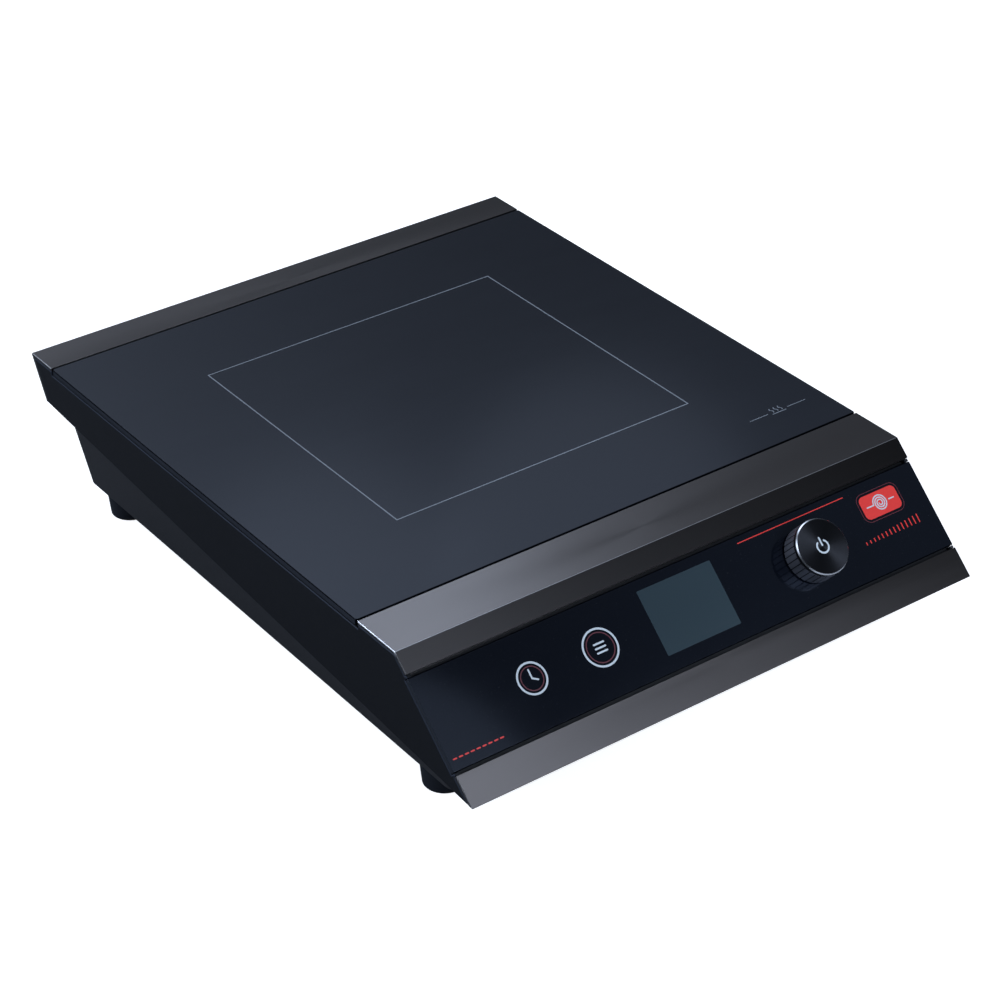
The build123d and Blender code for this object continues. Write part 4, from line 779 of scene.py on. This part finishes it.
def offset_point(before, point, after, distance):
    """The point moved to the left of the way it lies on, mitred at a corner."""
    first = (Vector(point) - Vector(before)).normalized()
    second = (Vector(after) - Vector(point)).normalized()
    if first.length < 0.5:
        first = second
    if second.length < 0.5:
        second = first
    left_first = Vector((-first.y, first.x))
    left_second = Vector((-second.y, second.x))
    share = distance / max(1.0 + left_first.dot(left_second), 0.2)
    return Vector(point) + (left_first + left_second) * share


def ribbon(points, width):
    """Closed outline of an open line with a width and round ends."""
    last = len(points) - 1
    left = []
    right = []
    for i, point in enumerate(points):
        before = points[max(i - 1, 0)]
        after = points[min(i + 1, last)]
        left.append(offset_point(before, point, after, width / 2))
        right.append(offset_point(before, point, after, -width / 2))
    return left + end_cap(left[-1], right[-1]) + right[::-1] + end_cap(right[0], left[0])


def end_cap(start, end, steps=6):
    """Half circle between two points, bulging to the left of the way from end to start."""
    centre = (start + end) / 2
    arm = start - centre
    points = []
    for i in range(1, steps):
        angle = -math.pi * i / steps
        turn = Matrix.Rotation(angle, 2)
        points.append(centre + turn @ arm)
    return points


def loop_band(points, width):
    """Inner and outer outline of a closed line with a width."""
    count = len(points)
    inner = []
    outer = []
    for i, point in enumerate(points):
        before = points[i - 1]
        after = points[(i + 1) % count]
        inner.append(offset_point(before, point, after, width / 2))
        outer.append(offset_point(before, point, after, -width / 2))
    return inner, outer


class Sheet:
    """A flat drawing made of thin closed plates, all with one ink."""

    def __init__(self):
        self.mesh = bmesh.new()

    def layer(self, outline, height):
        return [self.mesh.verts.new((point[0] * MM, point[1] * MM, height * MM)) for point in outline]

    def walls(self, low, high):
        count = len(low)
        for i in range(count):
            after = (i + 1) % count
            self.mesh.faces.new((low[i], low[after], high[after], high[i]))

    def plate(self, outline, top=ink_height, bottom=-ink_sink):
        """A filled plate; the outline runs anticlockwise."""
        low = self.layer(outline, bottom)
        high = self.layer(outline, top)
        self.mesh.faces.new(high)
        self.mesh.faces.new(low[::-1])
        self.walls(low, high)

    def band(self, points, width, top=ink_height, bottom=-ink_sink):
        """A closed line with a width, such as a ring."""
        inner, outer = loop_band(points, width)
        inner_low = self.layer(inner, bottom)
        inner_high = self.layer(inner, top)
        outer_low = self.layer(outer, bottom)
        outer_high = self.layer(outer, top)
        count = len(points)
        self.walls(outer_low, outer_high)
        self.walls(inner_low[::-1], inner_high[::-1])
        for i in range(count):
            after = (i + 1) % count
            self.mesh.faces.new((outer_high[i], outer_high[after], inner_high[after], inner_high[i]))
            self.mesh.faces.new((outer_low[i], inner_low[i], inner_low[after], outer_low[after]))

    def line(self, points, width, top=ink_height, bottom=-ink_sink):
        """An open line with a width and round ends."""
        self.plate(ribbon(points, width), top, bottom)

    def ring(self, radius, width):
        self.band(arc((0, 0), radius, 0, 360)[:-1], width)

    def place(self, name, matrix, ink, body):
        """Turns the drawing into a piece on a face of a body."""
        bmesh.ops.recalc_face_normals(self.mesh, faces=self.mesh.faces)
        data = bpy.data.meshes.new(name)
        self.mesh.to_mesh(data)
        self.mesh.free()
        data.transform(matrix)
        data.materials.append(INKS[ink])
        piece = bpy.data.objects.new(name, data)
        bpy.context.scene.collection.objects.link(piece)
        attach(piece, body)
        return piece


def face_matrix(origin, across, upward):
    """Takes a drawing's (u, v) to a face: u across, v upward on the face."""
    out = across.cross(upward)
    return Matrix.Translation(origin) @ Matrix((across, upward, out)).transposed().to_4x4()


def on_panel(x, s):
    """Matrix of a drawing centred on the control glass."""
    origin = FOLD + ACROSS * (x * MM) + SLOPE_DOWN * (s * MM) + SLOPE_OUT * PANEL_N
    return face_matrix(origin, ACROSS, -SLOPE_DOWN)


def on_top(x, y):
    """Matrix of a drawing centred on the top glass."""
    return face_matrix(Vector((x * MM, y * MM, TOP_Z)), ACROSS, BACK)


def print_zone():
    sheet = Sheet()
    rear = [(zone_half, zone_rear), (-zone_half, zone_rear)]
    front = [(-zone_half, zone_front), (zone_half, zone_front)]
    sheet.band(rear + front, zone_line)
    sheet.place("zone_outline", on_top(0, 0), "grey", "housing")


def print_heat_mark():
    """Three rising waves over a bar: a plain mark for a hot surface."""
    sheet = Sheet()
    for i in range(wave_count):
        start_u = (i - (wave_count - 1) / 2) * wave_gap
        wave = []
        for k in range(wave_steps + 1):
            rise = k / wave_steps
            sway = wave_sway * math.sin(rise * 2 * math.pi)
            wave.append((start_u + sway, wave_low + rise * wave_rise))
        sheet.line(wave, heat_stroke)
    sheet.line([(-heat_bar_half, heat_bar_v), (heat_bar_half, heat_bar_v)], heat_stroke)
    sheet.line([(heat_line_start, heat_line_v), (heat_line_end, heat_line_v)], heat_line_stroke)
    sheet.line([(-heat_line_end, heat_line_v), (-heat_line_start, heat_line_v)], heat_line_stroke)
    sheet.place("heat_mark", on_top(heat_mark_x, heat_mark_y), "grey", "housing")


def print_clock():
    sheet = Sheet()
    sheet.ring(clock_radius, ring_stroke)
    sheet.line(clock_hands, clock_hand_stroke)
    sheet.place("clock_mark", on_panel(*clock_place), "white", "housing")
    inner = Sheet()
    inner.ring(clock_inner_radius, inner_ring_stroke)
    inner.place("clock_ring", on_panel(*clock_place), "dull_red", "housing")


def print_menu():
    sheet = Sheet()
    sheet.ring(menu_radius, ring_stroke)
    for v in (-menu_bar_gap, 0.0, menu_bar_gap):
        sheet.line([(-menu_bar_half, v), (menu_bar_half, v)], menu_bar_stroke)
    sheet.place("menu_mark", on_panel(*menu_place), "white", "housing")
    inner = Sheet()
    inner.ring(menu_inner_radius, inner_ring_stroke)
    inner.place("menu_ring", on_panel(*menu_place), "dull_red", "housing")


def print_display():
    sheet = Sheet()
    sheet.plate(rounded_box((0, 0), display_size, display_corner))
    sheet.place("display_window", on_panel(*display_place), "display", "housing")


def print_badge():
    """A plain rounded badge with a flat coil and its two leads, and a border round it."""
    plate = Sheet()
    plate.plate(rounded_box((0, 0), badge_size, badge_corner))
    plate.place("badge_plate", on_panel(*badge_place), "red", "housing")
    symbol = Sheet()
    coil = [(-coil_lead_end, 0.0), (-coil_left_lead_start, 0.0)]
    for i in range(spiral_steps + 1):
        share = i / spiral_steps
        angle = math.pi - share * spiral_turns * 2 * math.pi
        radius = spiral_end + (spiral_start - spiral_end) * share
        coil.append((radius * math.cos(angle), radius * math.sin(angle)))
    symbol.line(coil, coil_stroke, coil_height)
    symbol.line([(coil_right_lead_start, 0.0), (coil_lead_end, 0.0)], coil_stroke, coil_height)
    symbol.place("badge_symbol", on_panel(*badge_place), "white", "housing")
    frame_size = (badge_size[0] + 2 * badge_frame_gap, badge_size[1] + 2 * badge_frame_gap)
    border = Sheet()
    border.band(rounded_box((0, 0), frame_size, badge_corner + badge_frame_gap), badge_frame_stroke)
    border.place("badge_border", on_panel(*badge_place), "dull_red", "housing")


def print_hairline():
    sheet = Sheet()
    sheet.line([(hairline_start, 0), (hairline_end, 0)], hairline_stroke)
    sheet.place("panel_hairline", on_panel(0, hairline_s), "red", "housing")


def print_level_bars():
    """Rising upright strokes under the badge: a plain scale for more heat."""
    sheet = Sheet()
    pitch = (level_end - level_start) / (level_count - 1)
    for i in range(level_count):
        u = level_start + i * pitch
        tall = level_low + (level_high - level_low) * i / (level_count - 1)
        sheet.line([(u, -level_high / 2), (u, tall - level_high / 2)], level_stroke)
    sheet.place("level_bars", on_panel(0, level_s), "red", "housing")


def print_corner_dashes():
    sheet = Sheet()
    pitch = (dash_end - dash_start) / dash_count
    for i in range(dash_count):
        u = dash_start + i * pitch
        sheet.line([(u, 0), (u + pitch * dash_share, 0)], dash_stroke)
    sheet.place("corner_dashes", on_panel(0, dash_s), "red", "housing")


def print_power_mark():
    sheet = Sheet()
    start = 90 + icon_gap
    sheet.line(arc((0, 0), icon_radius, start, start + 360 - 2 * icon_gap), icon_stroke)
    sheet.line([(0, icon_stem_low), (0, icon_stem_high)], icon_stroke)
    origin = KNOB_CENTRE + SLOPE_OUT * KNOB_FACE_N
    sheet.place("power_mark", face_matrix(origin, ACROSS, -SLOPE_DOWN), "white", "knob")


# Stage: pale floor, soft light from smooth bright areas in the sky, and the camera


def direction(azimuth, elevation):
    """Unit vector; azimuth in degrees from +Y towards +X."""
    a = math.radians(azimuth)
    e = math.radians(elevation)
    return (math.sin(a) * math.cos(e), math.cos(a) * math.cos(e), math.sin(e))


def glow(tree, ray, centre, sharpness, strength, colour):
    """A soft bright area of the sky round a direction."""
    closeness = vector_calc(tree, "DOT_PRODUCT", ray, centre)
    power = calc(tree, "MULTIPLY_ADD", closeness, sharpness, -sharpness)
    level = times(tree, calc(tree, "EXPONENT", power), strength)
    return vector_times(tree, colour, level)


def light_sky():
    world = bpy.data.worlds.new("studio")
    bpy.context.scene.world = world
    world.use_nodes = True
    tree = world.node_tree
    tree.nodes.clear()
    ray = add(tree, "ShaderNodeTexCoord").outputs["Generated"]
    total = SKY_BASE
    for azimuth, elevation, strength in SKY_GLOWS:
        part = glow(tree, ray, direction(azimuth, elevation), SKY_SHARPNESS, strength, LIGHT_COLOUR)
        total = vector_calc(tree, "ADD", total, part)
    seen = add(tree, "ShaderNodeLightPath").outputs["Is Camera Ray"]
    colour = mixed(tree, seen, total, BACKDROP)
    background = add(tree, "ShaderNodeBackground", {"Color": colour, "Strength": 1.0})
    add(tree, "ShaderNodeOutputWorld", {"Surface": background.outputs[0]})


def add_softboxes(places, only=None):
    """Soft disk lights aimed at the front of the hob; with a collection, they light only that."""
    for x, y, z, energy in places:
        lamp = bpy.data.lights.new("softbox", "AREA")
        lamp.shape = "DISK"
        lamp.size = SOFTBOX_SIZE
        lamp.energy = energy
        lamp.color = LIGHT_COLOUR
        holder = bpy.data.objects.new("softbox", lamp)
        bpy.context.scene.collection.objects.link(holder)
        place = Vector((x, y, z))
        holder.location = place
        holder.rotation_euler = (SOFTBOX_TARGET - place).to_track_quat("-Z", "Y").to_euler()
        holder.visible_camera = False
        if only is not None:
            holder.light_linking.receiver_collection = only


def only_these(label, names):
    """A collection of CAD nodes, for lights that reach nothing else."""
    chosen = bpy.data.collections.new(label)
    for name in names:
        chosen.objects.link(frame["nodes"][name])
    return chosen


def make_floor():
    mesh = bmesh.new()
    bmesh.ops.create_circle(mesh, cap_ends=True, radius=floor_radius, segments=floor_segments)
    data = bpy.data.meshes.new("floor")
    mesh.to_mesh(data)
    mesh.free()
    floor = bpy.data.objects.new("floor", data)
    bpy.context.scene.collection.objects.link(floor)
    material, tree, place = blank("pale_floor")
    seen = add(tree, "ShaderNodeLightPath").outputs["Is Camera Ray"]
    pale = mixed(tree, noise(tree, place, 3.0), grey(floor_pale_low), grey(floor_pale_high))
    colour = mixed(tree, seen, grey(floor_grey), pale)
    shader = add(tree, "ShaderNodeBsdfDiffuse", {"Color": colour})
    lift = times(tree, seen, floor_lift)
    fill = add(tree, "ShaderNodeEmission", {"Color": grey(1.0), "Strength": lift})
    both = add(tree, "ShaderNodeAddShader", {0: shader.outputs[0], 1: fill.outputs[0]})
    add(tree, "ShaderNodeOutputMaterial", {"Surface": both.outputs[0]})
    data.materials.append(material)


def make_camera():
    data = bpy.data.cameras.new("camera")
    data.lens = camera_lens
    data.sensor_width = camera_sensor
    camera = bpy.data.objects.new("camera", data)
    bpy.context.scene.collection.objects.link(camera)
    forward = Vector(direction(camera_heading, camera_tilt))
    right = forward.cross(UP).normalized()
    upward = right.cross(forward)
    roll = Matrix.Rotation(math.radians(camera_roll), 4, "Z")
    turned = Matrix((right, upward, -forward)).transposed().to_4x4()
    camera.matrix_world = Matrix.Translation(Vector(camera_place) * MM) @ turned @ roll
    bpy.context.scene.camera = camera


dress_nodes()
print_zone()
print_heat_mark()
print_clock()
print_menu()
print_display()
print_badge()
print_hairline()
print_level_bars()
print_corner_dashes()
print_power_mark()
light_sky()
add_softboxes(SOFTBOXES)
add_softboxes(TRIM_SOFTBOXES, only_these("lit_trims", TRIMS))
add_softboxes(CASE_SOFTBOXES, only_these("lit_case", CASE))
make_floor()
make_camera()
bpy.context.scene.view_settings.view_transform = "Standard"
